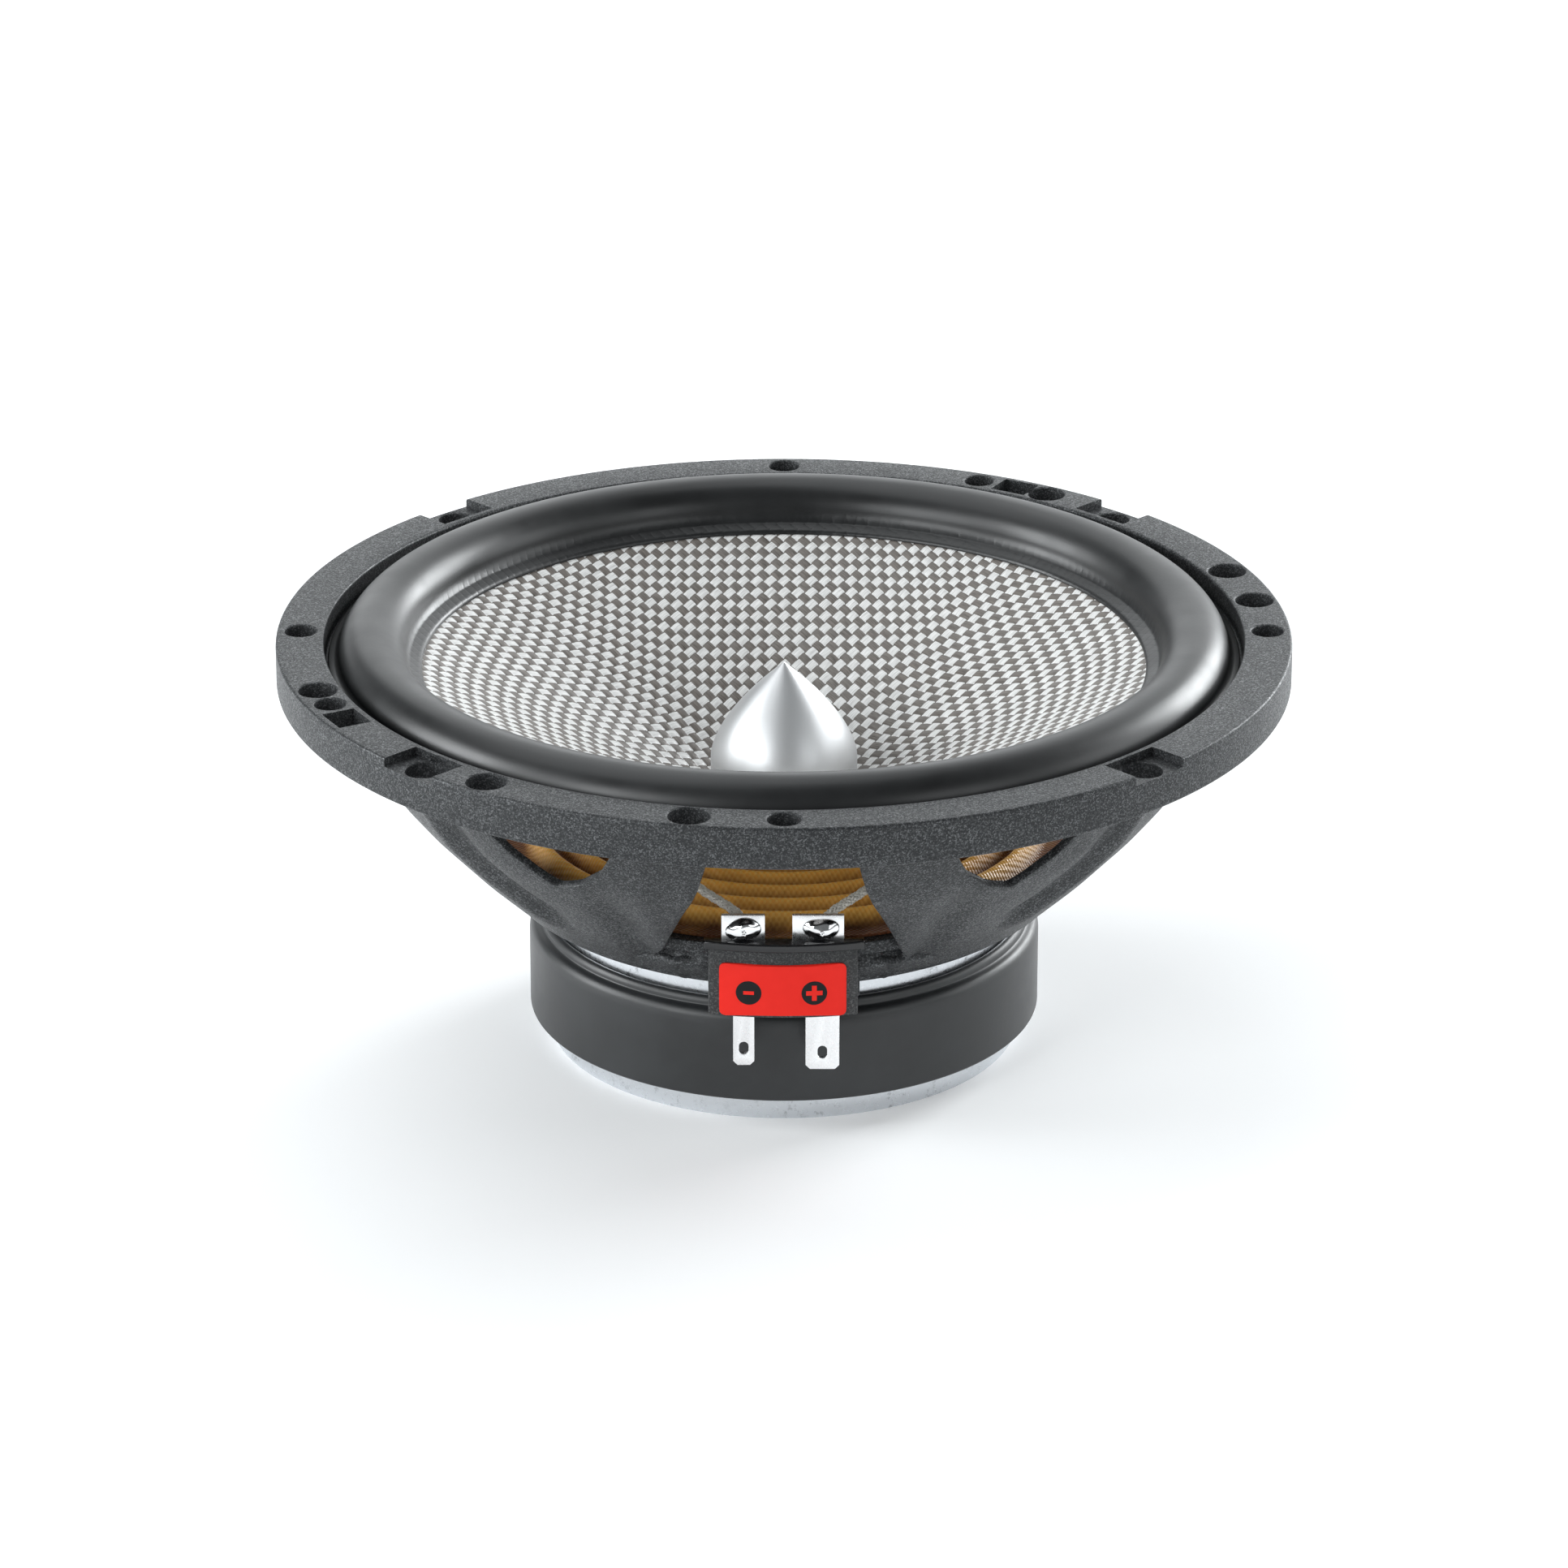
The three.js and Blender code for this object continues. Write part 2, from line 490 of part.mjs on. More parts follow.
function label() {
  const { x: [x0, x1], z: [z0, z1], corner, thickness } = LABEL;
  const outline = [];
  for (const [cx, cz, start] of [[x1, z0, -90], [x1, z1, 0], [x0, z1, 90], [x0, z0, 180]]) {
    const [inX, inZ] = [cx === x1 ? cx - corner : cx + corner, cz === z1 ? cz - corner : cz + corner];
    outline.push(...arc(inX, inZ, corner, start, start + 90, 3));
  }
  const inner = BLOCK_FRONT_R + 0.05;
  const outer = inner + thickness;
  const skin = turned([[inner, 20], [outer, 20], [outer, 33], [inner, 33]], 144);
  return skin.intersect(slab(outline, -60, -40));
}
add('polarity_label', label(), 0xe8322a, 0.45, 0);

for (const [pole, dims] of Object.entries(STRIPS)) {
  add(`${pole}_terminal`, strip(dims), 0xdfe2e4, 0.25, 0.95);
  add(`${pole}_solder_joint`, solderJoint(dims.lead), 0xe4e6e8, 0.15, 1);
}

// ---- tinsel leads, from the back of each lug to the underside of the cone ----
function lead(route) {
  const path = new THREE.CatmullRomCurve3(route.map((p) => new THREE.Vector3(...p)));
  const section = new THREE.Shape();
  section.absarc(0, 0, LEAD_R, 0, 2 * Math.PI);
  return solid(new THREE.ExtrudeGeometry(section, { extrudePath: path, steps: 18, curveSegments: 4 }));
}
for (const [pole, route] of Object.entries(LEAD_ROUTES)) {
  add(`${pole}_tinsel_lead`, lead(route), 0xb9ad95, 0.5, 0.7);
}

export default speaker;
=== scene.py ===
import math
from contextlib import contextmanager

import bmesh
import bpy
import numpy as np
from mathutils import Matrix, Vector
from mathutils.geometry import delaunay_2d_cdt


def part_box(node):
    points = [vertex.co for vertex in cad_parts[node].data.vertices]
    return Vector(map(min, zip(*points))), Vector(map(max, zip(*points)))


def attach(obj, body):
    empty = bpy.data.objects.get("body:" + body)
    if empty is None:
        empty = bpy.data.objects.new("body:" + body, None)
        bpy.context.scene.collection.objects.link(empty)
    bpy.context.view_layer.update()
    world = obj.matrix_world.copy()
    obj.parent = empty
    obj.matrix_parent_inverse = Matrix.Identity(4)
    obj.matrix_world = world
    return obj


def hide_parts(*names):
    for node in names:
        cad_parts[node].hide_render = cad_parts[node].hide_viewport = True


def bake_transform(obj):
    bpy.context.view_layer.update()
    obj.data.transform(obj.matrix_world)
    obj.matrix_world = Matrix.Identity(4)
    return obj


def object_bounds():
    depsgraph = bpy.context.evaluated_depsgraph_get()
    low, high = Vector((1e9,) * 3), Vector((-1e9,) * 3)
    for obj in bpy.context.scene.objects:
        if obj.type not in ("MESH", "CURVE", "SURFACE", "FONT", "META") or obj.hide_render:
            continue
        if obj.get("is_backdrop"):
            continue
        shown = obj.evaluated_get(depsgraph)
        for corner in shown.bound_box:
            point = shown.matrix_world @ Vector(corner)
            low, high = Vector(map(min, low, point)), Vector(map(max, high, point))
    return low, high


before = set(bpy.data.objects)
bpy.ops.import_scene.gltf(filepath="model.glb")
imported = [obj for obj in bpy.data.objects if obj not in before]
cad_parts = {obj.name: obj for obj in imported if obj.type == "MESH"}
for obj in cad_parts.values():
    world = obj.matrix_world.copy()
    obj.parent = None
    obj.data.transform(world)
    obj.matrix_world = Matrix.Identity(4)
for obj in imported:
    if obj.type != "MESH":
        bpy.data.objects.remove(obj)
cadLow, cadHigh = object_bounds()
mm = 0.001
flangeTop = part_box("basket")[1].z / mm       # heights in millimetres, from the back plate's rear face
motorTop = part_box("top_plate")[1].z / mm
print("frame loaded, flange top at", round(flangeTop, 2))


# general helpers

def addObject(name, mesh):
    made = bpy.data.objects.new(name, mesh)
    bpy.context.scene.collection.objects.link(made)
    return made


def meshObject(name, points, faces, scale=mm):
    mesh = bpy.data.meshes.new(name)
    mesh.from_pydata([tuple(c * scale for c in p) for p in points], [], [tuple(f) for f in faces])
    mesh.validate()
    return addObject(name, mesh)


@contextmanager
def editing(obj):
    work = bmesh.new()
    work.from_mesh(obj.data)
    yield work
    work.to_mesh(obj.data)
    work.free()


def closedMesh(name, points, faces):
    made = meshObject(name, points, faces)
    with editing(made) as work:
        bmesh.ops.remove_doubles(work, verts=work.verts, dist=1e-7)
        bmesh.ops.recalc_face_normals(work, faces=work.faces)
    return made


def smooth(obj, angle=35):
    obj.data.shade_smooth()
    obj.data.set_sharp_from_angle(angle=math.radians(angle))
    return obj


def paint(obj, *materials):
    obj.data.materials.clear()
    for material in materials:
        obj.data.materials.append(material)
    return obj


def bakeModifiers(obj):
    bpy.context.view_layer.update()
    graph = bpy.context.evaluated_depsgraph_get()
    baked = bpy.data.meshes.new_from_object(obj.evaluated_get(graph))
    obj.modifiers.clear()
    obj.data = baked
    return obj


def bevelEdges(obj, width, segments=2, angle=35):
    bevel = obj.modifiers.new("bevel", "BEVEL")
    bevel.width = width * mm
    bevel.segments = segments
    bevel.limit_method = "ANGLE"
    bevel.angle_limit = math.radians(angle)
    return bakeModifiers(obj)


def cut(obj, *cutters):
    for cutter in cutters:
        difference = obj.modifiers.new("cut", "BOOLEAN")
        difference.operation = "DIFFERENCE"
        difference.solver = "EXACT"
        difference.object = cutter
        bakeModifiers(obj)
        bpy.data.objects.remove(cutter)
    return obj


def join(name, parts):
    whole = bmesh.new()
    for part in parts:
        whole.from_mesh(part.data)
    mesh = bpy.data.meshes.new(name)
    whole.to_mesh(mesh)
    whole.free()
    for part in parts:
        bpy.data.objects.remove(part)
    return addObject(name, mesh)


def arcPoints(centreR, centreZ, radius, fromDegrees, toDegrees, steps):
    angles = np.radians(np.linspace(fromDegrees, toDegrees, steps + 1))
    return [(centreR + radius * math.cos(a), centreZ + radius * math.sin(a)) for a in angles]


# every corner of an outline turned into a short curve
def roundedOutline(points, radius, steps=3, closed=True):
    out = []
    count = len(points)
    for i, here in enumerate(points):
        here = Vector(here)
        if not closed and i in (0, count - 1):
            out.append(tuple(here))
            continue
        before, after = Vector(points[i - 1]), Vector(points[(i + 1) % count])
        reach = min(radius, 0.45 * (before - here).length, 0.45 * (after - here).length)
        start = here + (before - here).normalized() * reach
        end = here + (after - here).normalized() * reach
        for k in range(steps + 1):
            t = k / steps
            out.append(tuple(start * (1 - t) ** 2 + here * 2 * t * (1 - t) + end * t ** 2))
    return out


# a closed outline of (radius, height) turned about the axis
def turned(name, outline, segments=192):
    rings, points = [], []
    for r, z in outline:
        if r < 1e-6:
            rings.append([len(points)] * segments)
            points.append((0, 0, z))
            continue
        rings.append(list(range(len(points), len(points) + segments)))
        for k in range(segments):
            a = 2 * math.pi * k / segments
            points.append((r * math.cos(a), r * math.sin(a), z))
    faces = []
    for i, ring in enumerate(rings):
        following = rings[(i + 1) % len(rings)]
        if ring[0] == ring[1] and following[0] == following[1]:
            continue
        for k in range(segments):
            n = (k + 1) % segments
            loop = [ring[k], ring[n], following[n], following[k]]
            faces.append([v for j, v in enumerate(loop) if v != loop[j - 1]])
    return closedMesh(name, points, faces)


def boxShape(name, low, high):
    x0, y0, z0 = low
    x1, y1, z1 = high
    points = [(x, y, z) for x in (x0, x1) for y in (y0, y1) for z in (z0, z1)]
    faces = [(0, 1, 3, 2), (4, 6, 7, 5), (0, 4, 5, 1), (2, 3, 7, 6), (0, 2, 6, 4), (1, 5, 7, 3)]
    return closedMesh(name, points, faces)


# an outline swept between two levels, an (x, y) outline along Z or an (x, z) outline along Y
def prism(name, outline, low, high, axis="Z"):
    count = len(outline)
    points = [(a, b, level) if axis == "Z" else (a, level, b) for level in (low, high) for a, b in outline]
    faces = [list(range(count)), list(range(2 * count - 1, count - 1, -1))]
    faces += [[i, (i + 1) % count, count + (i + 1) % count, count + i] for i in range(count)]
    return closedMesh(name, points, faces)


def turnAbout(obj, degrees):
    obj.data.transform(Matrix.Rotation(math.radians(degrees), 4, "Z"))
    return obj


# a piece without a body is not attached to one
def finishPiece(obj, body, slot, nodes, *materials):
    paint(obj, *materials)
    if body:
        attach(obj, body)
    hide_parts(*nodes)
    print("made", obj.name, "with", len(obj.data.polygons), "faces")
    return obj


# node tree helpers

# a node's output, which adds and multiplies like a number
class Wire:
    def __init__(self, socket):
        self.socket = socket
        self.tree = socket.id_data

    def __add__(self, other):
        return calc("ADD", self, other)

    def __sub__(self, other):
        return calc("SUBTRACT", self, other)

    def __rsub__(self, other):
        return calc("SUBTRACT", other, self)

    def __mul__(self, other):
        return calc("MULTIPLY", self, other)

    def __truediv__(self, other):
        return calc("DIVIDE", self, other)

    def __abs__(self):
        return calc("ABSOLUTE", self)


def addNode(tree, kind, inputs=None, **settings):
    made = tree.nodes.new(kind)
    for key, value in settings.items():
        setattr(made, key, value)
    for key, value in (inputs or {}).items():
        if isinstance(value, Wire):
            tree.links.new(value.socket, made.inputs[key])
        else:
            made.inputs[key].default_value = value
    return made


def wireFrom(tree, kind, inputs=None, output=0, **settings):
    return Wire(addNode(tree, kind, inputs, **settings).outputs[output])


def calc(operation, *values, clamp=False):
    tree = next(value.tree for value in values if isinstance(value, Wire))
    return wireFrom(tree, "ShaderNodeMath", dict(enumerate(values)), operation=operation, use_clamp=clamp)


def split(vector):
    return [Wire(socket) for socket in addNode(vector.tree, "ShaderNodeSeparateXYZ", {0: vector}).outputs]


def combine(tree, x=0, y=0, z=0):
    return wireFrom(tree, "ShaderNodeCombineXYZ", {0: x, 1: y, 2: z})


def newMaterial(name, color, **values):
    material = bpy.data.materials.new(name)
    material.use_nodes = True
    material.diffuse_color = (*color, 1)
    shader = material.node_tree.nodes["Principled BSDF"]
    shader.inputs["Base Color"].default_value = (*color, 1)
    for key, value in values.items():
        shader.inputs[key.replace("_", " ")].default_value = value
    return material, shader


def feed(shader, **wires):
    for key, wire in wires.items():
        wire.tree.links.new(wire.socket, shader.inputs[key.replace("_", " ")])


def objectPlace(shader):
    return wireFrom(shader.id_data, "ShaderNodeTexCoord", output="Object")


def objectPoint(shader, scale=(1, 1, 1)):
    return wireFrom(shader.id_data, "ShaderNodeMapping", {"Vector": objectPlace(shader), "Scale": scale})


def noise(point, scale, detail=2.0, roughness=0.5):
    return wireFrom(point.tree, "ShaderNodeTexNoise",
                    {"Vector": point, "Scale": scale, "Detail": detail, "Roughness": roughness})


def ramp(value, low, high, outLow=0.0, outHigh=1.0):
    return wireFrom(value.tree, "ShaderNodeMapRange", {"Value": value, "From Min": low, "From Max": high,
                                                       "To Min": outLow, "To Max": outHigh})


def mixColor(factor, a, b):
    a, b = ((*color, 1) if isinstance(color, tuple) else color for color in (a, b))
    return wireFrom(factor.tree, "ShaderNodeMix", {0: factor, 6: a, 7: b}, 2, data_type="RGBA")


def bump(shader, height, distance, strength=1.0):
    inputs = {"Height": height, "Distance": distance * mm, "Strength": strength}
    if shader.inputs["Normal"].is_linked:
        inputs["Normal"] = Wire(shader.inputs["Normal"].links[0].from_socket)
    feed(shader, Normal=wireFrom(height.tree, "ShaderNodeBump", inputs))


# camera, floor and light

studio = {
    "aim": flangeTop * mm,      # the camera looks at the centre of the flange's top
    "distance": 1.116,
    "elevation": 21.335,
    "lens": 157.6,
    "shift": -0.0978,
    "world": 0.15,              # how bright the room is as a light
    "backdrop": 1.1,            # and as the camera sees it
    "worldColor": (0.94, 0.98, 1, 1),
    "floorColor": (0.93, 0.935, 0.94),
    "floorGlow": 0.13,
    "floorHalf": 30,            # metres
    "lightColor": (0.955, 0.985, 1.0),
    "lightAim": (0, 0, 0.05),
    "boxes": {                  # name: (place, width, height, power)
        "backBox": ((0.1, 1.1, 0.5), 1.5, 0.5, 4.0),
        "backLowBox": ((0.0, 1.2, 0.15), 2.0, 0.3, 2.0),
        "backHighBox": ((0.0, 0.9, 0.9), 1.2, 0.4, 1.6),
        "backRightBox": ((0.9, 0.8, 0.45), 0.6, 0.6, 16.5),
        "rightBox": ((1.1, 0.0, 0.4), 0.5, 0.6, 2.4),
        "leftBox": ((-1.1, 0.0, 0.4), 0.5, 0.6, 10.0),
        "frontLeftBox": ((-0.8, -0.8, 0.5), 0.6, 0.6, 6.8),
        "frontRightBox": ((0.8, -0.8, 0.5), 0.6, 0.6, 2.0),
        "topBox": ((-0.3, 0.3, 1.1), 1.0, 0.8, 3.8),
    },
}


def makeCamera(s):
    camera = addObject("camera", bpy.data.cameras.new("camera"))
    camera.data.lens = s["lens"]
    camera.data.sensor_width = 36
    camera.data.shift_y = s["shift"]
    camera.data.clip_start = 0.01
    rise = math.radians(s["elevation"])
    camera.location = Vector((0, 0, s["aim"])) + Vector((0, -math.cos(rise), math.sin(rise))) * s["distance"]
    camera.rotation_euler = (math.pi / 2 - rise, 0, 0)
    bpy.context.scene.camera = camera


def makeFloor(s):
    half = s["floorHalf"]
    floor = meshObject("floor", [(-half, -half, 0), (half, -half, 0), (half, half, 0), (-half, half, 0)],
                       [(0, 1, 2, 3)], 1)
    paint(floor, newMaterial("floorPaint", s["floorColor"], Roughness=0.7, Specular_IOR_Level=0.2,
                             Emission_Color=(1, 1, 1, 1), Emission_Strength=s["floorGlow"])[0])
    floor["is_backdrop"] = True


# white behind the object, dimmer as a light
def makeWorld(s):
    world = bpy.data.worlds.new("studioWorld")
    world.use_nodes = True
    background = world.node_tree.nodes["Background"]
    background.inputs["Color"].default_value = s["worldColor"]
    seen = wireFrom(world.node_tree, "ShaderNodeLightPath", output="Is Camera Ray")
    feed(background, Strength=ramp(seen, 0, 1, s["world"], s["backdrop"]))
    bpy.context.scene.world = world


def makeLights(s):
    for name, (place, width, height, power) in s["boxes"].items():
        light = addObject(name, bpy.data.lights.new(name, "AREA"))
        light.data.shape = "RECTANGLE"
        light.data.size, light.data.size_y = width, height
        light.data.energy = power
        light.data.color = s["lightColor"]
        light.location = place
        light.visible_camera = False
        light.rotation_euler = (Vector(s["lightAim"]) - Vector(place)).to_track_quat("-Z", "Y").to_euler()


bpy.context.scene.view_settings.view_transform = "Standard"
makeCamera(studio)
makeFloor(studio)
makeWorld(studio)
makeLights(studio)
print("studio ready")


# finishes

# powder coat with fine bright grains
def sparklePaint(name, dark, light, metallic, grain=5200, rarity=3.2):
    material, shader = newMaterial(name, dark, Roughness=0.48, Metallic=metallic)
    point = objectPoint(shader)
    cells = wireFrom(point.tree, "ShaderNodeTexVoronoi", {"Vector": point, "Scale": grain}, "Color")
    shade = wireFrom(point.tree, "ShaderNodeSeparateColor", {"Color": cells})
    patches = ramp(noise(point, 260, 3), 0.3, 0.7, 0.6, 1.0)
    feed(shader, Base_Color=mixColor(calc("POWER", shade, rarity) * patches, dark, light),
         Roughness=ramp(shade, 0, 1, 0.56, 0.38))
    bump(shader, shade, 0.035, 0.8)
    bump(shader, noise(point, 2600, 3, 0.6), 0.02, 0.6)
    return material


def rubberPaint(name, color, roughness, lighter=1.7):
    material, shader = newMaterial(name, color, Roughness=roughness, Specular_IOR_Level=0.6)
    point = objectPoint(shader)
    mottled = noise(point, 90, 4, 0.6)
    feed(shader, Base_Color=mixColor(ramp(mottled, 0.35, 0.7), color, tuple(c * lighter for c in color)),
         Roughness=ramp(mottled, 0.3, 0.7, roughness - 0.04, roughness + 0.06))
    bump(shader, noise(point, 2200, 2), 0.012, 0.5)
    return material


# plated or blasted metal, with pits if speckle is above 0
def metalPaint(name, color, roughness, speckle=0.0, grain=1500, stretch=(1, 1, 1), metallic=1.0):
    material, shader = newMaterial(name, color, Roughness=roughness, Metallic=metallic)
    fine = noise(objectPoint(shader, stretch), grain, 3, 0.6)
    feed(shader, Roughness=ramp(fine, 0.3, 0.7, roughness - 0.05, roughness + 0.07))
    if speckle:
        pits = noise(objectPoint(shader), 420, 5, 0.75)
        cloud = ramp(noise(objectPoint(shader), 60, 3), 0.35, 0.65, 0.2, 1.0)
        darker = tuple(c * (1 - speckle) for c in color)
        feed(shader, Base_Color=mixColor(ramp(pits, 0.56, 0.66) * cloud, color, darker))
        bump(shader, pits, 0.05, 0.4)
    bump(shader, fine, 0.01, 0.5)
    return material


# two tones and a relief that follow one noise
def cloudedPaint(name, color, tones, roughness, cloud, relief, stretch=(1, 1, 1)):
    material, shader = newMaterial(name, color, Roughness=roughness)
    grain = noise(objectPoint(shader, stretch), *cloud)
    feed(shader, Base_Color=mixColor(grain, *tones))
    bump(shader, grain, *relief)
    return material


def inkPaint(name, color, roughness):
    material, shader = newMaterial(name, color, Roughness=roughness, Specular_IOR_Level=0.15)
    lighter = tuple(min(1, c * 1.08 + 0.004) for c in color)
    feed(shader, Base_Color=mixColor(noise(objectPoint(shader), 500, 3), color, lighter))
    bump(shader, noise(objectPoint(shader), 2500, 2), 0.006, 0.4)
    return material


basketPaint = sparklePaint("basketPowderCoat", (0.0165, 0.018, 0.0195), (0.15, 0.155, 0.16), 0.35)
blockPaint = sparklePaint("terminalPlastic", (0.018, 0.019, 0.02), (0.1, 0.1, 0.1), 0.1)
surroundRubber = rubberPaint("surroundRubber", (0.006, 0.0065, 0.007), 0.37)
bootRubber = rubberPaint("bootRubber", (0.011, 0.012, 0.013), 0.42)
shelfPlastic = rubberPaint("glossyShelf", (0.006, 0.006, 0.007), 0.16)
plateZinc = metalPaint("zincPlate", (0.70, 0.725, 0.755), 0.30, 0.55)
screwZinc = metalPaint("zincScrew", (0.72, 0.73, 0.74), 0.32, 0.3)
plugAluminium = metalPaint("satinAluminium", (0.80, 0.81, 0.82), 0.44, 0.0, 7000)
tinPlate = metalPaint("tinPlate", (0.97, 0.975, 0.98), 0.26, 0.04, 900)
wirePaint = metalPaint("enamelledCopper", (0.62, 0.25, 0.10), 0.28, 0.15, 800, (1, 1, 12))
leadPaint = metalPaint("silveredBraid", (0.95, 0.92, 0.84), 0.42, 0.15, 1200, metallic=0.25)
solderPaint = metalPaint("solder", (0.88, 0.885, 0.89), 0.12, 0.0, 500)
ferritePaint = cloudedPaint("groundFerrite", (0.045, 0.045, 0.048),
                            ((0.03, 0.03, 0.032), (0.075, 0.075, 0.08)), 0.55, (700, 4, 0.7), (0.03, 0.6))
formerPaint = cloudedPaint("amberFilm", (0.36, 0.16, 0.045),
                           ((0.26, 0.10, 0.025), (0.46, 0.22, 0.06)), 0.3, (150, 3), (0.02, 0.4), (1, 1, 6))
redInk = inkPaint("redFilm", (0.80, 0.021, 0.013), 0.5)
blackInk = inkPaint("blackInk", (0.010, 0.010, 0.011), 0.4)
print("finishes mixed")


# basket

basketShape = {
    "flangeR": 82.5,
    "flangeInnerR": 74.7,
    "flangeThick": 6.9,
    "stepR": 69.8,             # the step that the surround's lip lies in
    "stepZ": 65.3,
    "edgeRound": 0.55,
    "holeCircleR": 78.6,
    "holeLip": 0.3,            # small rounding at each hole's mouth
    "roundHoles": [(0, 2.6), (10.2, 3.15), (20.4, 3.15), (55.1, 3.15), (64.7, 2.5), (90, 2.6), (180, 2.6),
                   (-156.1, 2.5), (-160.7, 3.1), (-125.7, 3.2), (-100.6, 3.3), (-90, 2.6)],
    "squareHoles": [59.7, -151.2],
    "squareSize": (5.5, 6.4),
    "recesses": [45, 135, -45, -135],
    "recessWide": 10.9,
    "recessDeep": 1.45,
    "recessHoleR": 3,
    "recessHoleStretch": 1.13,
    "wall": 1.4,
    "windowRound": 0.8,
    "windowStep": 1.1,         # mesh spacing along a window's edge
    "windowClear": 0.8,        # and how far the wall's other points keep from it
    "columns": 232,
    "rows": 34,
    "sheetR": 60.0,            # the radius that the flat sheet is rolled from
    "seam": -148.0,            # where it starts and ends, in degrees
    "reliefOut": 0.78,         # which way is out of the slope
    "reliefDown": 0.62,
}
bowlOuter = [(73.5, 63.2), (71.4, 59.6), (69.2, 55.3), (65.4, 48.3), (60.8, 42.6), (53.3, 34.6), (46.5, 28.2),
             (43.4, 25.6), (41.0, 24.6)]
mainWindow = [(-21.0, 30.4), (-20.0, 32.7), (-17.3, 40.2), (-15.3, 46.3), (-13.4, 51.5), (-12.2, 56.7),
              (-11.6, 60.2), (11.2, 60.2), (11.7, 56.7), (12.8, 51.5), (14.6, 46.3), (16.6, 40.2),
              (19.2, 32.7), (20.0, 30.4)]
sideWindow = [(-17.6, 36.6), (-15.2, 43.2), (-12.6, 51.4), (-11.2, 60.2),
              (11.2, 60.2), (12.6, 51.4), (15.2, 43.2), (17.6, 36.6)]
cornerWindow = [(1.0, 47.2), (-4.0, 48.9), (-8.6, 52.2), (-11.6, 56.2), (-12.8, 60.2), (15.0, 60.2),
                (8.6, 52.6)]


def holeCutter(radius, top, bottom, lip):
    outline = [(0, bottom - 1), (radius, bottom - 1), (radius, top - lip),
               (radius + 0.1 * lip, top - 0.5 * lip), (radius + lip, top + 0.01), (radius + lip, top + 1),
               (0, top + 1)]
    return turned("cutter", outline, 40)


def makeFlange(b):
    top, bottom = flangeTop, flangeTop - b["flangeThick"]
    outerR, innerR, stepR, stepZ = (b[key] for key in ("flangeR", "flangeInnerR", "stepR", "stepZ"))
    outline = [(outerR, bottom), (outerR, top), (innerR, top), (innerR, stepZ), (stepR, stepZ),
               (stepR, bottom)]
    flange = turned("basketFlange", roundedOutline(outline, b["edgeRound"], 4), 288)
    recessTop, half = top - b["recessDeep"], b["recessWide"] / 2
    cutters = []

    def cutBox(angle, low, high):
        cutters.append(turnAbout(boxShape("cutter", low, high), angle))

    def drill(angle, radius, mouth, stretch=1.0):
        hole = holeCutter(radius, mouth, bottom, b["holeLip"])
        hole.data.transform(Matrix.Diagonal((stretch, 1, 1, 1)))
        hole.data.transform(Matrix.Translation((b["holeCircleR"] * mm, 0, 0)))
        cutters.append(turnAbout(hole, angle))

    for angle in b["recesses"]:
        cutBox(angle, (innerR + 1, -half, recessTop), (outerR + 3, half, top + 1))
    for angle in b["recesses"]:
        drill(angle, b["recessHoleR"], recessTop, b["recessHoleStretch"])
    for angle, radius in b["roundHoles"]:
        drill(angle, radius, top)
    radial, across = b["squareSize"]
    for angle in b["squareHoles"]:
        cutBox(angle, (b["holeCircleR"] - radial / 2, -across / 2, bottom - 1),
               (b["holeCircleR"] + radial / 2, across / 2, top + 1))
    return smooth(cut(flange, *cutters), 30)


def bowlAt(z):
    heights = [p[1] for p in reversed(bowlOuter)]
    return float(np.interp(z, heights, [p[0] for p in reversed(bowlOuter)]))


# how far the bowl's outside stands out, in mm: a groove and a raised rim on each side arm, and hollow petals
def bowlRelief(x, y):
    r, theta = math.hypot(x, y), math.degrees(math.atan2(abs(y), abs(x)))
    armEdge, armStart, armEnd, fade = 43, 33, 62, 5
    across = abs(y) - armEdge
    onArm = np.clip((abs(x) - armStart) / fade, 0, 1) * np.clip((armEnd - abs(x)) / fade, 0, 1)
    groove = -1.3 * math.exp(-(across / 1.5) ** 2)
    rim = 1.0 * math.exp(-((across + 4.2) / 1.9) ** 4)
    crest = max(0.0, 1 - abs(theta - 70 + (58 - r) * 0.15) / 5.5)
    petal = (1.9 * crest - 1.6 * math.exp(-((theta - 69) / 7.5) ** 6)) * np.clip((68 - r) / 8, 0, 1)
    return onArm * (groove + rim) + petal


# whether a point of the flat sheet is inside a closed loop
def inside(px, py, loop):
    loop = np.array(loop)
    following = np.roll(loop, -1, 0)
    crosses = (loop[:, 1] > py) != (following[:, 1] > py)
    with np.errstate(divide="ignore", invalid="ignore"):
        at = loop[:, 0] + (py - loop[:, 1]) / (following[:, 1] - loop[:, 1]) * (following[:, 0] - loop[:, 0])
    return np.count_nonzero(crosses & (px < at)) % 2 == 1


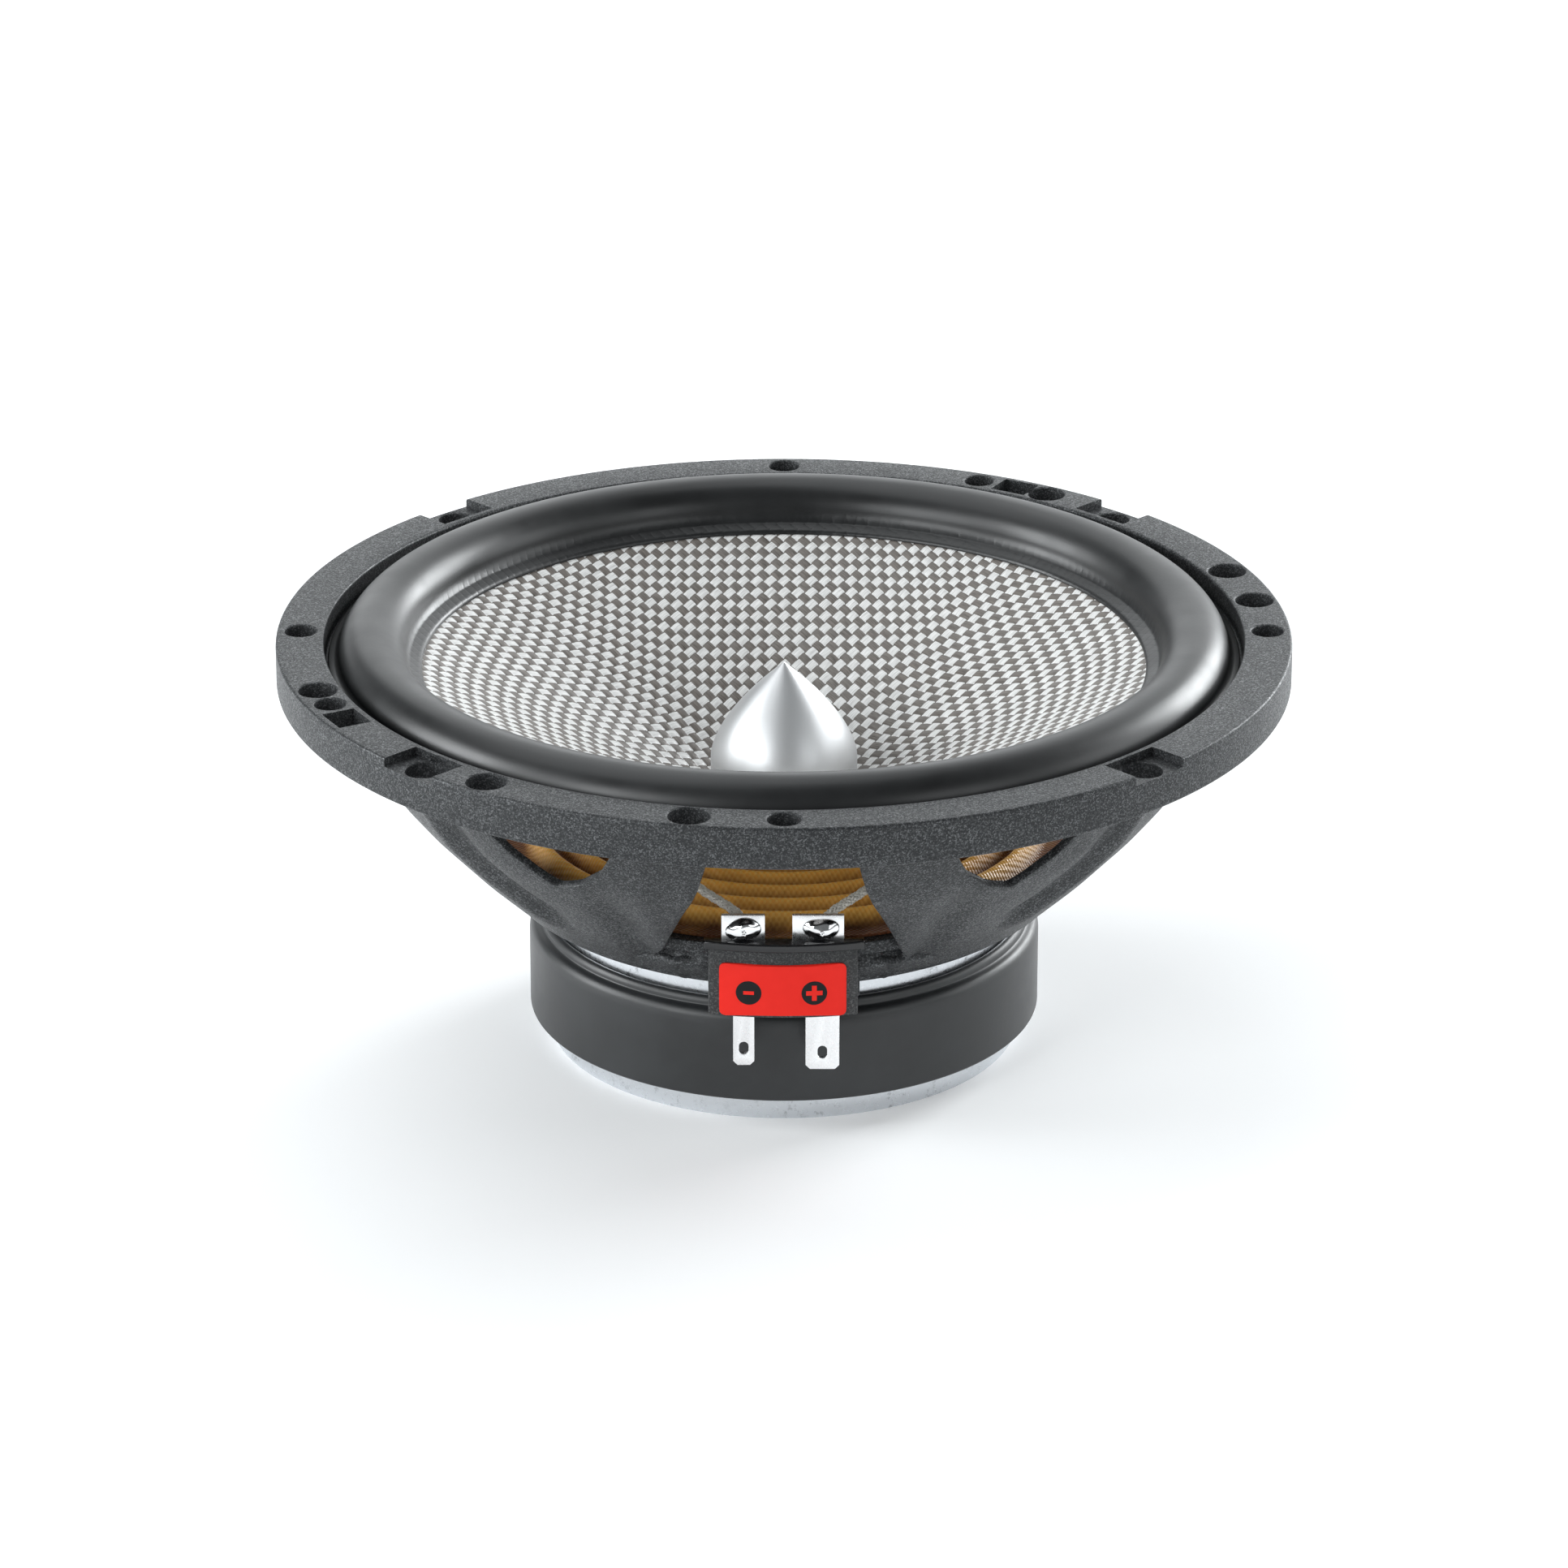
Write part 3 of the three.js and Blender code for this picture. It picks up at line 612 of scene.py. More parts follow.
# the wall is laid out flat as (angle, height along the slope), its windows are cut out, and it is rolled up
def makeBowl(b):
    radii, heights = np.array(bowlOuter).T
    slope = np.concatenate([[0], np.cumsum(np.hypot(np.diff(radii), np.diff(heights)))])
    sheetR, seam = b["sheetR"], b["seam"]

    def windowPath(outline, centre, mirrored=False):
        points = [(-x, z) for x, z in reversed(outline)] if mirrored else outline
        points = roundedOutline(points, b["windowRound"], 3)
        path = []
        for (x0, z0), (x1, z1) in zip(points, points[1:] + points[:1]):
            steps = max(1, round(math.hypot(x1 - x0, z1 - z0) / b["windowStep"]))
            for k in range(steps):
                x, z = x0 + (x1 - x0) * k / steps, z0 + (z1 - z0) * k / steps
                angle = centre + math.degrees(math.asin(x / bowlAt(z)))
                around = (angle - seam) % 360 / 360 * 2 * math.pi * sheetR
                path.append((around, float(np.interp(-z, -heights, slope))))
        return path

    windows = [windowPath(mainWindow, angle) for angle in (-90, 90)]
    windows += [windowPath(sideWindow, angle) for angle in (0, 180)]
    windows += [windowPath(cornerWindow, angle, mirrored)
                for angle, mirrored in ((-57.5, False), (-122.5, True), (122.5, False), (57.5, True))]
    width, total = 2 * math.pi * sheetR, slope[-1]
    points, edges = [], []
    ys = np.linspace(0, total, b["rows"] + 1)
    xs = np.linspace(0, width, b["columns"] + 1)
    border = [(0, y) for y in ys] + [(x, total) for x in xs[1:]] + [(width, y) for y in ys[::-1][1:]]
    border += [(x, 0) for x in xs[::-1][1:-1]]
    for loop in [border, *windows]:
        first = len(points)
        points += loop
        edges += [(first + i, first + (i + 1) % len(loop)) for i in range(len(loop))]

    def inWindow(px, py):
        return any(inside(px, py, window) for window in windows)

    walls = np.concatenate([np.array(w) for w in windows])
    for x in xs[1:-1]:
        for j, y in enumerate(ys[1:-1]):
            px = x + (0.25 if j % 2 else -0.25) * width / b["columns"]
            clear = np.min(np.hypot(walls[:, 0] - px, walls[:, 1] - y)) >= b["windowClear"]
            if clear and not inWindow(px, y):
                points.append((px, y))
    result = delaunay_2d_cdt([Vector(p) for p in points], edges, [], 1, 1e-6)
    verts, faces = result[0], result[2]
    centres = [sum((verts[v] for v in face), Vector((0, 0))) / len(face) for face in faces]
    keep = [face for face, centre in zip(faces, centres) if not inWindow(centre.x, centre.y)]
    placed = []
    for v in verts:
        angle = math.radians(seam) + v.x / sheetR
        r, z = float(np.interp(v.y, slope, radii)), float(np.interp(v.y, slope, heights))
        out = bowlRelief(r * math.cos(angle), r * math.sin(angle))
        r += out * b["reliefOut"]
        placed.append((r * math.cos(angle), r * math.sin(angle), z - out * b["reliefDown"]))
    bowl = meshObject("basketBowl", placed, keep)
    with editing(bowl) as work:
        bmesh.ops.remove_doubles(work, verts=work.verts, dist=0.05 * mm)
        bmesh.ops.recalc_face_normals(work, faces=work.faces)
        sample = max(work.faces, key=lambda f: f.calc_center_median().to_2d().length)
        if sample.normal.dot(Vector((*sample.calc_center_median().to_2d(), 0))) < 0:
            bmesh.ops.reverse_faces(work, faces=work.faces)
        bmesh.ops.smooth_vert(work, verts=[v for v in work.verts if not v.is_boundary], factor=0.5,
                              use_axis_x=True, use_axis_y=True, use_axis_z=True)
    thick = bowl.modifiers.new("wall", "SOLIDIFY")
    thick.thickness = b["wall"] * mm
    thick.offset = -1
    bevelEdges(bakeModifiers(bowl), 0.45, 2, 50)
    return smooth(bowl, 40)


# the ledge that holds the spider, the floor on the top plate and the pad behind the terminals
def makeSeat():
    floorTop = motorTop + 2.4
    terminalGap = ((-13.4, -80, 20), (13.4, -46.15, 40))
    floorOutline = roundedOutline([(26, motorTop), (38.4, motorTop), (41.4, motorTop + 0.9), (43.3, 25.8),
                                   (43.2, 27.4), (41.6, floorTop), (26, floorTop)], 0.4, 3)
    ledge = turned("basketLedge", roundedOutline([(42.5, 32.2), (47.8, 32.2), (47.8, 34.4), (42.5, 34.4)],
                                                 0.35, 3))
    wall = turned("basketWall", roundedOutline([(43.6, 27.2), (45.6, 27.2), (48.2, 30.2), (47.0, 33.0),
                                                (44.8, 33.0), (44.8, 30.0)], 0.4, 3))
    for ring in (ledge, wall):
        cut(ring, boxShape("cutter", *terminalGap))
    pad = bevelEdges(boxShape("pad", (-12, -46.1, 25), (12, -43, 34.4)), 0.3)
    return smooth(join("basketSeat", [turned("floorRing", floorOutline), ledge, wall, pad]), 30)


basketPieces = [makeFlange(basketShape), makeBowl(basketShape), makeSeat()]
for piece in basketPieces:
    finishPiece(piece, "frame", "basket", ["basket"], basketPaint)


# surround

surroundShape = {
    "outerR": 74.1,
    "lipTop": 66.3,
    "rollR": 67.0,
    "rollRadius": 5.5,
    "skin": 0.9,
    "weaveEdgeR": 58.9,
    "innerLip": 0.6,
    "gap": 0.06,              # between the lip and the cloth
}
coneShape = {"edgeR": 58.9, "edgeZ": 63.9, "neckR": 13.2, "outerR": 61.4, "depth": 22.5, "straight": 0.857,
             "skin": 0.7}


def coneTop(r):
    c = coneShape
    t = (c["edgeR"] - r) / (c["edgeR"] - c["neckR"])
    return c["edgeZ"] - c["depth"] * (c["straight"] * t + (1 - c["straight"]) * t * abs(t))


# the piece's placement is baked into its mesh
def radialBlend(obj):
    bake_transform(obj)


def makeSurround(s):
    outerR, lipTop, skin = s["outerR"], s["lipTop"], s["skin"]
    rollR, roll, rimR, gap = s["rollR"], s["rollRadius"], s["weaveEdgeR"], s["gap"]
    top = [(outerR, lipTop - 0.2), (outerR - 0.25, lipTop), (73.2, lipTop)]
    top += arcPoints(rollR, lipTop, roll, 6, 172, 44)
    lipR = np.linspace(61.1, rimR + 0.3, 6)
    top += [(r, coneTop(r) + s["innerLip"]) for r in lipR]
    top += [(rimR, coneTop(rimR) + 0.35), (rimR, coneTop(rimR) + gap)]
    under = [(r, coneTop(r) + gap) for r in lipR[::-1]] + [(62.2, coneTop(61.5) + 0.3)]
    under += arcPoints(rollR, lipTop, roll - skin, 178, 0, 40)
    under += [(72.0, lipTop - skin), (outerR, lipTop - skin)]
    return smooth(turned("rubberSurround", top + under, 256), 60)


surround = finishPiece(makeSurround(surroundShape), None, "surround_rubber", ["surround"], surroundRubber)
radialBlend(surround)


# woven cone

weave = {
    "pitch": 1.68,           # one tow to the next
    "samples": 4,            # points across a tow
    "backSamples": 2,        # and on the unseen back
    "cells": 80,             # tows across the sheet, an even number
    "lift": 0.09,            # how far a tow rises and dips
    "crown": 0.11,           # how thick a tow is
    "whiteWidth": 0.86,      # tow widths, as shares of the pitch
    "darkWidth": 0.88,
    "drift": 1.8,            # how far the cloth was pulled while it was laid
    "drape": 0.07,           # how much its tows close up where they cross the slope at 45 degrees
}


def startTree(name, sockets):
    tree = bpy.data.node_groups.new(name, "GeometryNodeTree")
    ids = {}
    for label, kind in sockets:
        socket = tree.interface.new_socket(name=label, in_out="INPUT", socket_type="NodeSocket" + kind)
        ids[label] = socket.identifier
    tree.interface.new_socket(name="Geometry", in_out="OUTPUT", socket_type="NodeSocketGeometry")
    return tree, ids, {socket.name: Wire(socket) for socket in tree.nodes.new("NodeGroupInput").outputs}


def storeAs(name, geometry, value, kind):
    return wireFrom(value.tree, "GeometryNodeStoreNamedAttribute",
                    {"Geometry": geometry, "Name": name, "Value": value}, data_type=kind)


def endTree(tree, geometry, material):
    solid = wireFrom(tree, "GeometryNodeRealizeInstances", {0: geometry})
    painted = wireFrom(tree, "GeometryNodeSetMaterial", {"Geometry": solid, "Material": material})
    addNode(tree, "NodeGroupOutput", {0: painted})


def growFromTree(name, tree, ids, values):
    obj = addObject(name, bpy.data.meshes.new(name))
    modifier = obj.modifiers.new("build", "NODES")
    modifier.node_group = tree
    for label, value in values.items():
        modifier[ids[label]] = value
    return bakeModifiers(obj)


# heights of the white tow and the dark tow at a point, in the cloth's own (u, v)
def towHeights(u, v, lift, crown, whiteWidth, darkWidth):
    def side(value):
        return calc("COSINE", calc("FLOOR", value) * math.pi)

    def rise(value):
        return calc("SINE", value * math.pi)

    def bulge(value, width):
        across = calc("MULTIPLY_ADD", calc("FRACT", value), 2.0, -1.0) / width
        return calc("MAXIMUM", 1.0 - calc("POWER", abs(across), 5.0), -0.6)

    white = side(v) * rise(u) * lift + bulge(v, whiteWidth) * crown
    dark = bulge(u, darkWidth) * crown - side(u) * rise(v) * lift
    return white, dark


def towsOf(u, v, w):
    return towHeights(u, v, w["lift"], w["crown"], w["whiteWidth"], w["darkWidth"])


def weaveTree(material):
    floats = ("Pitch", "Lift", "Crown", "White width", "Dark width", "Drift", "Drape", "Drop", "Inner radius",
              "Outer radius", "Edge radius", "Edge height", "Depth", "Straight share")
    sockets = [("Cells", "Int"), ("Samples", "Int"), *((label, "Float") for label in floats)]
    tree, ids, given = startTree("wovenSheet", sockets)
    pitch, inner, outer, edge = (given[f] for f in ("Pitch", "Inner radius", "Outer radius", "Edge radius"))
    size = pitch * given["Cells"]
    count = given["Cells"] * given["Samples"] + 1.0
    grid = wireFrom(tree, "GeometryNodeMeshGrid", {"Size X": size, "Size Y": size, "Vertices X": count,
                                                   "Vertices Y": count}, "Mesh")
    first = 200.0001             # keeps the tow numbers above 0, and the grid's points off their edges

    # counted in tows, with the grid's lines drawn towards each tow's edges
    def towCoordinate(axis):
        even = axis / pitch + first
        return calc("MULTIPLY_ADD", calc("SINE", even * (2 * math.pi)), -0.12, even)

    u, v = (towCoordinate(axis) for axis in split(wireFrom(tree, "GeometryNodeInputPosition"))[:2])
    mapped = storeAs("towMap", grid, combine(tree, u, v), "FLOAT_VECTOR")

    # the cloth turned by 45 degrees, pulled out of true towards one side, and draped
    along, across = ((c - first) * pitch for c in (u, v))
    x = (along - across) * math.sqrt(0.5)
    y = (along + across) * math.sqrt(0.5)
    pull = ramp(x, 5, 45) * given["Drift"]
    x = x + pull * calc("SINE", y / 13.0)
    y = y + pull * calc("COSINE", x / 11.0)
    angle = calc("ARCTAN2", y, x)
    four = angle * 4.0
    angle = angle - calc("SINE", four) * (given["Drape"] / 4.0)
    stretch = calc("MULTIPLY_ADD", calc("COSINE", four), given["Drape"] * 0.75, 1.0)
    r = calc("SQRT", x * x + y * y) * stretch
    held = wireFrom(tree, "ShaderNodeClamp", {"Value": r, "Min": inner, "Max": outer})

    # the cone's own fall, and the tows on it
    t = (edge - held) / (edge - inner)
    bend = (1.0 - given["Straight share"]) * (t * abs(t))
    fall = given["Depth"] * calc("MULTIPLY_ADD", t, given["Straight share"], bend)
    white, dark = towHeights(u, v, *(given[f] for f in ("Lift", "Crown", "White width", "Dark width")))
    fade = ramp(held, 61.0, 60.2)      # the cloth lies flat under the rubber's rim
    z = calc("MULTIPLY_ADD", calc("MAXIMUM", white, dark), fade, given["Edge height"] - fall) - given["Drop"]
    place = combine(tree, held * calc("COSINE", angle), held * calc("SINE", angle), z)

    step = pitch / given["Samples"] * 1.6
    spare = wireFrom(tree, "FunctionNodeBooleanMath", {0: calc("GREATER_THAN", r, outer + step),
                                                       1: calc("LESS_THAN", r, inner - step)}, operation="OR")
    marked = storeAs("drop", mapped, spare, "BOOLEAN")
    moved = wireFrom(tree, "GeometryNodeSetPosition", {"Geometry": marked, "Position": place})
    dropped = wireFrom(tree, "GeometryNodeInputNamedAttribute", {"Name": "drop"}, "Attribute",
                       data_type="BOOLEAN")
    trimmed = wireFrom(tree, "GeometryNodeDeleteGeometry", {"Geometry": moved, "Selection": dropped},
                       domain="POINT")
    metres = wireFrom(tree, "GeometryNodeTransform", {"Geometry": trimmed, "Scale": (mm, mm, mm)})
    endTree(tree, metres, material)
    return tree, ids


def wovenMaterial(w):
    material, shader = newMaterial("lacqueredWeave", (0.6, 0.58, 0.55), Roughness=0.3,
                                   Specular_IOR_Level=0.35, Coat_Weight=0.22, Coat_Roughness=0.2)
    tree = shader.id_data
    tow = wireFrom(tree, "ShaderNodeAttribute", output="Vector", attribute_name="towMap")
    u, v, _ = split(tow)
    white, dark = towsOf(u, v, w)

    def fibres(scale, roughness):
        return noise(wireFrom(tree, "ShaderNodeMapping", {"Vector": tow, "Scale": scale}), 1.0, 3, roughness)

    whiteFibre, darkFibre = fibres((0.6, 9, 1), 0.6), fibres((9, 0.6, 1), 0.7)
    perTow = wireFrom(tree, "ShaderNodeTexWhiteNoise", {"W": calc("FLOOR", u)}, noise_dimensions="1D")
    whiteShade = mixColor(ramp(whiteFibre, 0.3, 0.65), (0.56, 0.555, 0.545), (0.90, 0.90, 0.89))
    darkShade = mixColor(ramp(darkFibre, 0.3, 0.72), (0.050, 0.042, 0.036), (0.24, 0.21, 0.185))
    darkShade = mixColor(ramp(perTow, 0, 1, 0, 0.3), darkShade, (0.20, 0.185, 0.17))
    onTop = ramp(white - dark, -0.02, 0.02)
    # painted shade: the tows are darkened to near black-brown where they meet, in the crease where one dives
    # under the other
    seam = ramp(abs(white - dark), 0.0, 0.05, 0.35, 0.0)
    # painted shade: nearly black where both tows dip lowest, in the hollows between them
    gap = ramp(calc("MAXIMUM", white, dark), -0.06, 0.0)
    color = mixColor(seam, mixColor(onTop, darkShade, whiteShade), (0.10, 0.09, 0.08))
    feed(shader, Base_Color=mixColor(gap, (0.06, 0.05, 0.045), color),
         Roughness=ramp(onTop, 0, 1, 0.42, 0.34))
    bump(shader, mixColor(onTop, darkFibre, whiteFibre), 0.03, 0.6)
    return material


# the cloth shows faintly through the surround's thin lip
def printThrough(material, w):
    shader = material.node_tree.nodes["Principled BSDF"]
    x, y, _ = split(objectPlace(shader))
    scale = math.sqrt(0.5) / (w["pitch"] * mm)
    u, v = (calc("MULTIPLY_ADD", c, scale, 200.0) for c in (x + y, y - x))
    onLip = ramp(calc("SQRT", x * x + y * y), 0.0616, 0.0612)
    bump(shader, calc("MAXIMUM", *towsOf(u, v, w)) * onLip, 0.16)


def makeCone(w, c):
    material = wovenMaterial(w)
    tree, ids = weaveTree(material)
    shared = {"Pitch": w["pitch"], "Cells": w["cells"],
              "White width": w["whiteWidth"], "Dark width": w["darkWidth"],
              "Drift": w["drift"], "Drape": w["drape"], "Lift": w["lift"], "Crown": w["crown"],
              "Inner radius": c["neckR"], "Outer radius": c["outerR"], "Edge radius": c["edgeR"],
              "Edge height": c["edgeZ"], "Depth": c["depth"], "Straight share": c["straight"]}

    def sheet(name, samples, drop):
        return growFromTree(name, tree, ids, {**shared, "Samples": samples, "Drop": drop})

    face = sheet("coneFace", w["samples"], w["lift"] + w["crown"])
    back = sheet("coneBack", w["backSamples"], c["skin"] + w["crown"])
    back.data.flip_normals()
    whole = join("wovenCone", [face, back])
    middle = (c["neckR"] + c["outerR"]) / 2 * mm
    with editing(whole) as work:
        bmesh.ops.remove_doubles(work, verts=work.verts, dist=1e-6)
        rims = [e for e in work.edges if e.is_boundary]
        for outside in (False, True):
            rim = [e for e in rims if (e.verts[0].co.to_2d().length > middle) == outside]
            bmesh.ops.bridge_loops(work, edges=rim)
        bmesh.ops.triangulate(work, faces=[f for f in work.faces if len(f.verts) > 4])
        bmesh.ops.recalc_face_normals(work, faces=work.faces)
        print("cone has", sum(1 for e in work.edges if not e.is_manifold), "open edges")
    whole.data.attributes.remove(whole.data.attributes["drop"])
    return smooth(whole, 70), material


printThrough(surroundRubber, weave)
cone, weavePaint = makeCone(weave, coneShape)
finishPiece(cone, "cone_assembly", "woven_cone", ["cone"], weavePaint)


# phase plug and motor

plugShape = {"radius": 12.0, "shoulder": 47.5, "tip": 63.9, "power": 1.587, "steps": 48}


def makePlug(p):
    radius, shoulder, tip = p["radius"], p["shoulder"], p["tip"]
    outline = [(0, motorTop), (radius - 0.3, motorTop), (radius, motorTop + 0.3), (radius, shoulder - 1)]
    for s in np.arange(p["steps"]) / p["steps"]:
        outline.append((radius * (1 - s ** p["power"]), shoulder + s * (tip - shoulder)))
    return smooth(turned("phasePlug", outline + [(0.12, tip - 0.12), (0, tip)], 160), 40)


finishPiece(makePlug(plugShape), "frame", "turned_aluminium", ["phase_plug"], plugAluminium)

plate = {"radius": 38.6, "thick": 4.5, "poleR": 12.1, "boreR": 14.2, "round": 0.35, "sinkR": 4.3,
         "sinkDeep": 2.4, "holeR": 2.15}


def makeMotor(p):
    radius, thick, poleR, boreR, holeR = (p[key] for key in ("radius", "thick", "poleR", "boreR", "holeR"))
    low = motorTop - thick
    back = [(p["sinkR"], 0), (radius, 0), (radius, thick), (poleR, thick), (poleR, motorTop),
            (holeR, motorTop), (holeR, p["sinkDeep"])]
    top = [(boreR, low), (radius, low), (radius, motorTop), (boreR, motorTop)]
    return [smooth(turned(name, roundedOutline(outline, p["round"], 3), 224), 30)
            for name, outline in (("backPlate", back), ("topPlate", top))]


for piece, node in zip(makeMotor(plate), ("back_plate_and_pole", "top_plate")):
    finishPiece(piece, "frame", "zinc_plate", [node], plateZinc)

bootOutline = [(40.15, 4.6), (41.7, 4.6), (42, 4.9), (42, 17.7), (41.8, 18.8), (41.3, 19.5), (40.6, 19.8),
               (40.3, 20.0), (40.25, 20.6), (39.9, 21.15), (39.4, 21.4), (38.8, 21.2), (38.8, 19.4),
               (40.15, 19.4)]
boot = smooth(turned("magnetBoot", roundedOutline(bootOutline, 0.5, 4), 224), 45)
finishPiece(boot, "frame", "boot_rubber", ["magnet_boot"], bootRubber)


# voice coil

coil = {"formerR": 12.5, "formerThick": 0.4, "bottom": 14.75, "top": 42.6,
        "wireStart": 15.55, "wireEnd": 27.55, "wire": 0.3, "wireDeep": 0.62, "valley": 0.1, "gap": 0.05}


def makeCoil(c):
    r0, r1, bottom, top = c["formerR"], c["formerR"] + c["formerThick"], c["bottom"], c["top"]
    former = smooth(turned("coilFormer", [(r0, bottom), (r1, bottom), (r1, top), (r0, top)], 128), 30)
    inner, wire = r1 + c["gap"], c["wire"]
    crest, valley = inner + c["wireDeep"], inner + c["wireDeep"] - c["valley"]
    outline = [(inner, c["wireEnd"]), (inner, c["wireStart"])]
    for k in range(round((c["wireEnd"] - c["wireStart"]) / wire)):
        low = c["wireStart"] + k * wire
        outline += [(valley, low), (crest, low + 0.3 * wire), (crest, low + 0.7 * wire)]
    return former, smooth(turned("coilWinding", [*outline, (valley, c["wireEnd"])], 128), 50)


former, winding = makeCoil(coil)
finishPiece(former, "cone_assembly", "former", ["voice_coil_former"], formerPaint)
finishPiece(winding, "cone_assembly", "coil_wire", ["voice_coil_winding"], wirePaint)


# spider

spiderShape = {"innerR": 13.1, "rimR": 46.0, "height": 36.0, "crestR": 20.2, "pitch": 5.2, "wave": 1.3,
               "lastTroughR": 43.6, "rimHeight": 34.7, "skin": 0.45}


def makeSpider(s):
    line = []
    for r in np.linspace(s["innerR"], s["lastTroughR"], 92):
        line.append((r, s["height"] + s["wave"] * math.cos(2 * math.pi * (r - s["crestR"]) / s["pitch"])))
    line += [(r, s["rimHeight"]) for r in np.linspace(s["lastTroughR"] + 0.4, s["rimR"], 5)]
    half = s["skin"] / 2
    outline = [(r, z + half) for r, z in line] + [(r, z - half) for r, z in reversed(line)]
    return smooth(turned("spiderCloth", outline, 224), 60)


# resin-soaked cotton: its threads run square to each other, with painted shade in the troughs and painted
# light on the crests
def clothMaterial(threadPitch=0.95):
    material, shader = newMaterial("resinCloth", (0.6, 0.27, 0.05), Roughness=0.5, Sheen_Weight=0.15)
    place = objectPlace(shader)
    x, y, z = split(place)
    warp, weft = (calc("SINE", axis * (2 * math.pi / (threadPitch * mm))) for axis in (x, y))
    cloth = warp * weft
    # painted shade and light: by height, the cloth is painted dark brown low in its troughs and bright amber
    # high on its crests, with a random tone mixed in
    crest = ramp(z, 0.0348, 0.0374)
    crestShadeAndTone = calc("ADD", crest, ramp(noise(place, 130, 4, 0.6), 0.3, 0.7, -0.2, 0.2), clamp=True)
    body = mixColor(crestShadeAndTone, (0.16, 0.045, 0.008), (0.95, 0.46, 0.065))
    # painted highlight: the threads on the crests are lightened towards pale amber
    woven = mixColor(ramp(cloth, -0.6, 0.8, 0.1, 0.6) * crest, body, (1.0, 0.64, 0.20))
    # painted light: the crests get an emission glow, standing in for daylight that comes through the cone's
    # cloth
    glow = ramp(crest, 0.2, 1, 0.0, 0.11)      # daylight that comes through the cone's cloth
    feed(shader, Base_Color=woven, Emission_Color=woven, Emission_Strength=glow,
         Roughness=ramp(crest, 0, 1, 0.55, 0.33))
    bump(shader, cloth, 0.09, 0.8)
    return material


spider = finishPiece(makeSpider(spiderShape), None, "spider_cloth", ["spider"], clothMaterial())
radialBlend(spider)


# terminal block and label

block = {"frontR": 49.2, "backY": -46.3, "x": (-12.0, 11.7), "z": (22.6, 34.0), "shelf": 1.4, "shelfX": 12.8,
         "shelfR": 49.6}
labelShape = {"x": (-10.2, 9.8), "z": (22.95, 31.9), "corner": 0.8, "radius": 49.25, "skin": 0.35,
              "discZ": 27.05, "discR": 2.03,
              "discs": ((-5.6, (0.85, 0.3), False), (4.8, (1.3, 0.385), True))}     # (x, half a bar, crossed)


# an outline with a round front about the axis and a flat back
def roundFronted(x0, x1, radius, backY, steps=28):
    front = [(x, -math.sqrt(radius ** 2 - x * x)) for x in np.linspace(x0, x1, steps + 1)]
    return front + [(x1, backY), (x0, backY)]


def makeBlock(b):
    (x0, x1), (z0, z1), wide = b["x"], b["z"], b["shelfX"]
    body = prism("terminalBlock", roundFronted(x0, x1, b["frontR"], b["backY"]), z0, z1)
    shelf = prism("blockShelf", roundFronted(-wide, wide, b["shelfR"], b["backY"]), z1, z1 + b["shelf"])
    return smooth(bevelEdges(body, 0.22, 2), 40), smooth(bevelEdges(shelf, 0.3, 3), 40)


# a flat outline of (x, height) filled with points and wrapped on the block's curved front
def curvedPatch(outline, radius, skin, spacing=0.4, rows=5):
    (x0, z0), (x1, z1) = np.min(outline, 0), np.max(outline, 0)
    points = [Vector(p) for p in outline]
    for x in np.arange(x0 + spacing, x1 - spacing / 2, spacing):
        points += [Vector((float(x), float(z))) for z in np.linspace(z0 + spacing, z1 - spacing, rows)]
    edges = [(i, (i + 1) % len(outline)) for i in range(len(outline))]
    verts, _, faces = delaunay_2d_cdt(points, edges, [], 1, 1e-5)[:3]
    patch = meshObject("patch", [(v.x, -math.sqrt(radius ** 2 - v.x ** 2), v.y) for v in verts], faces)
    with editing(patch) as work:
        bmesh.ops.recalc_face_normals(work, faces=work.faces)
        if sum(f.normal.y for f in work.faces) > 0:
            bmesh.ops.reverse_faces(work, faces=work.faces)
    thick = patch.modifiers.new("skin", "SOLIDIFY")
    thick.thickness = skin * mm
    thick.offset = 1
    return bakeModifiers(patch)


# a bar, or a cross of two bars, about a centre
def markOutline(x, z, half, thin, crossed):
    if not crossed:
        return [(x - half, z - thin), (x + half, z - thin), (x + half, z + thin), (x - half, z + thin)]
    arm = [(-half, -thin), (-thin, -thin), (-thin, -half)]
    quarters = ((1, 0), (0, -1), (-1, 0), (0, 1))
    return [(x + c * a + s * b, z + c * b - s * a) for c, s in quarters for a, b in arm]


def makeLabel(s):
    (x0, x1), (z0, z1), z, discR = s["x"], s["z"], s["discZ"], s["discR"]
    outline = roundedOutline([(x0, z0), (x1, z0), (x1, z1), (x0, z1)], s["corner"] * 1.3, 5)
    sheet = curvedPatch(outline, s["radius"], s["skin"])
    sheet.name = "polarityLabel"
    front = s["radius"] + s["skin"]
    discs, marks = [], []
    for x, (half, thin), crossed in s["discs"]:
        circle = [(x + discR * math.cos(a), z + discR * math.sin(a))
                  for a in np.linspace(0, 2 * math.pi, 48, endpoint=False)]
        discs.append(curvedPatch(circle, front - 0.02, 0.05))
        marks.append(curvedPatch(markOutline(x, z, half, thin, crossed), front + 0.02, 0.04, 5))
    return sheet, join("labelDiscs", discs), join("labelMarks", marks)


terminalBlock, blockShelf = makeBlock(block)
finishPiece(terminalBlock, "frame", "terminal_plastic", ["terminal_block"], blockPaint)
finishPiece(blockShelf, "frame", "terminal_plastic", [], shelfPlastic)
labelSheet, labelDiscs, labelMarks = makeLabel(labelShape)
finishPiece(labelSheet, "frame", "label_red", ["polarity_label"], redInk)
finishPiece(labelDiscs, "frame", "label_red", [], blackInk)
finishPiece(labelMarks, "frame", "label_red", [], redInk)


# terminals, solder and leads

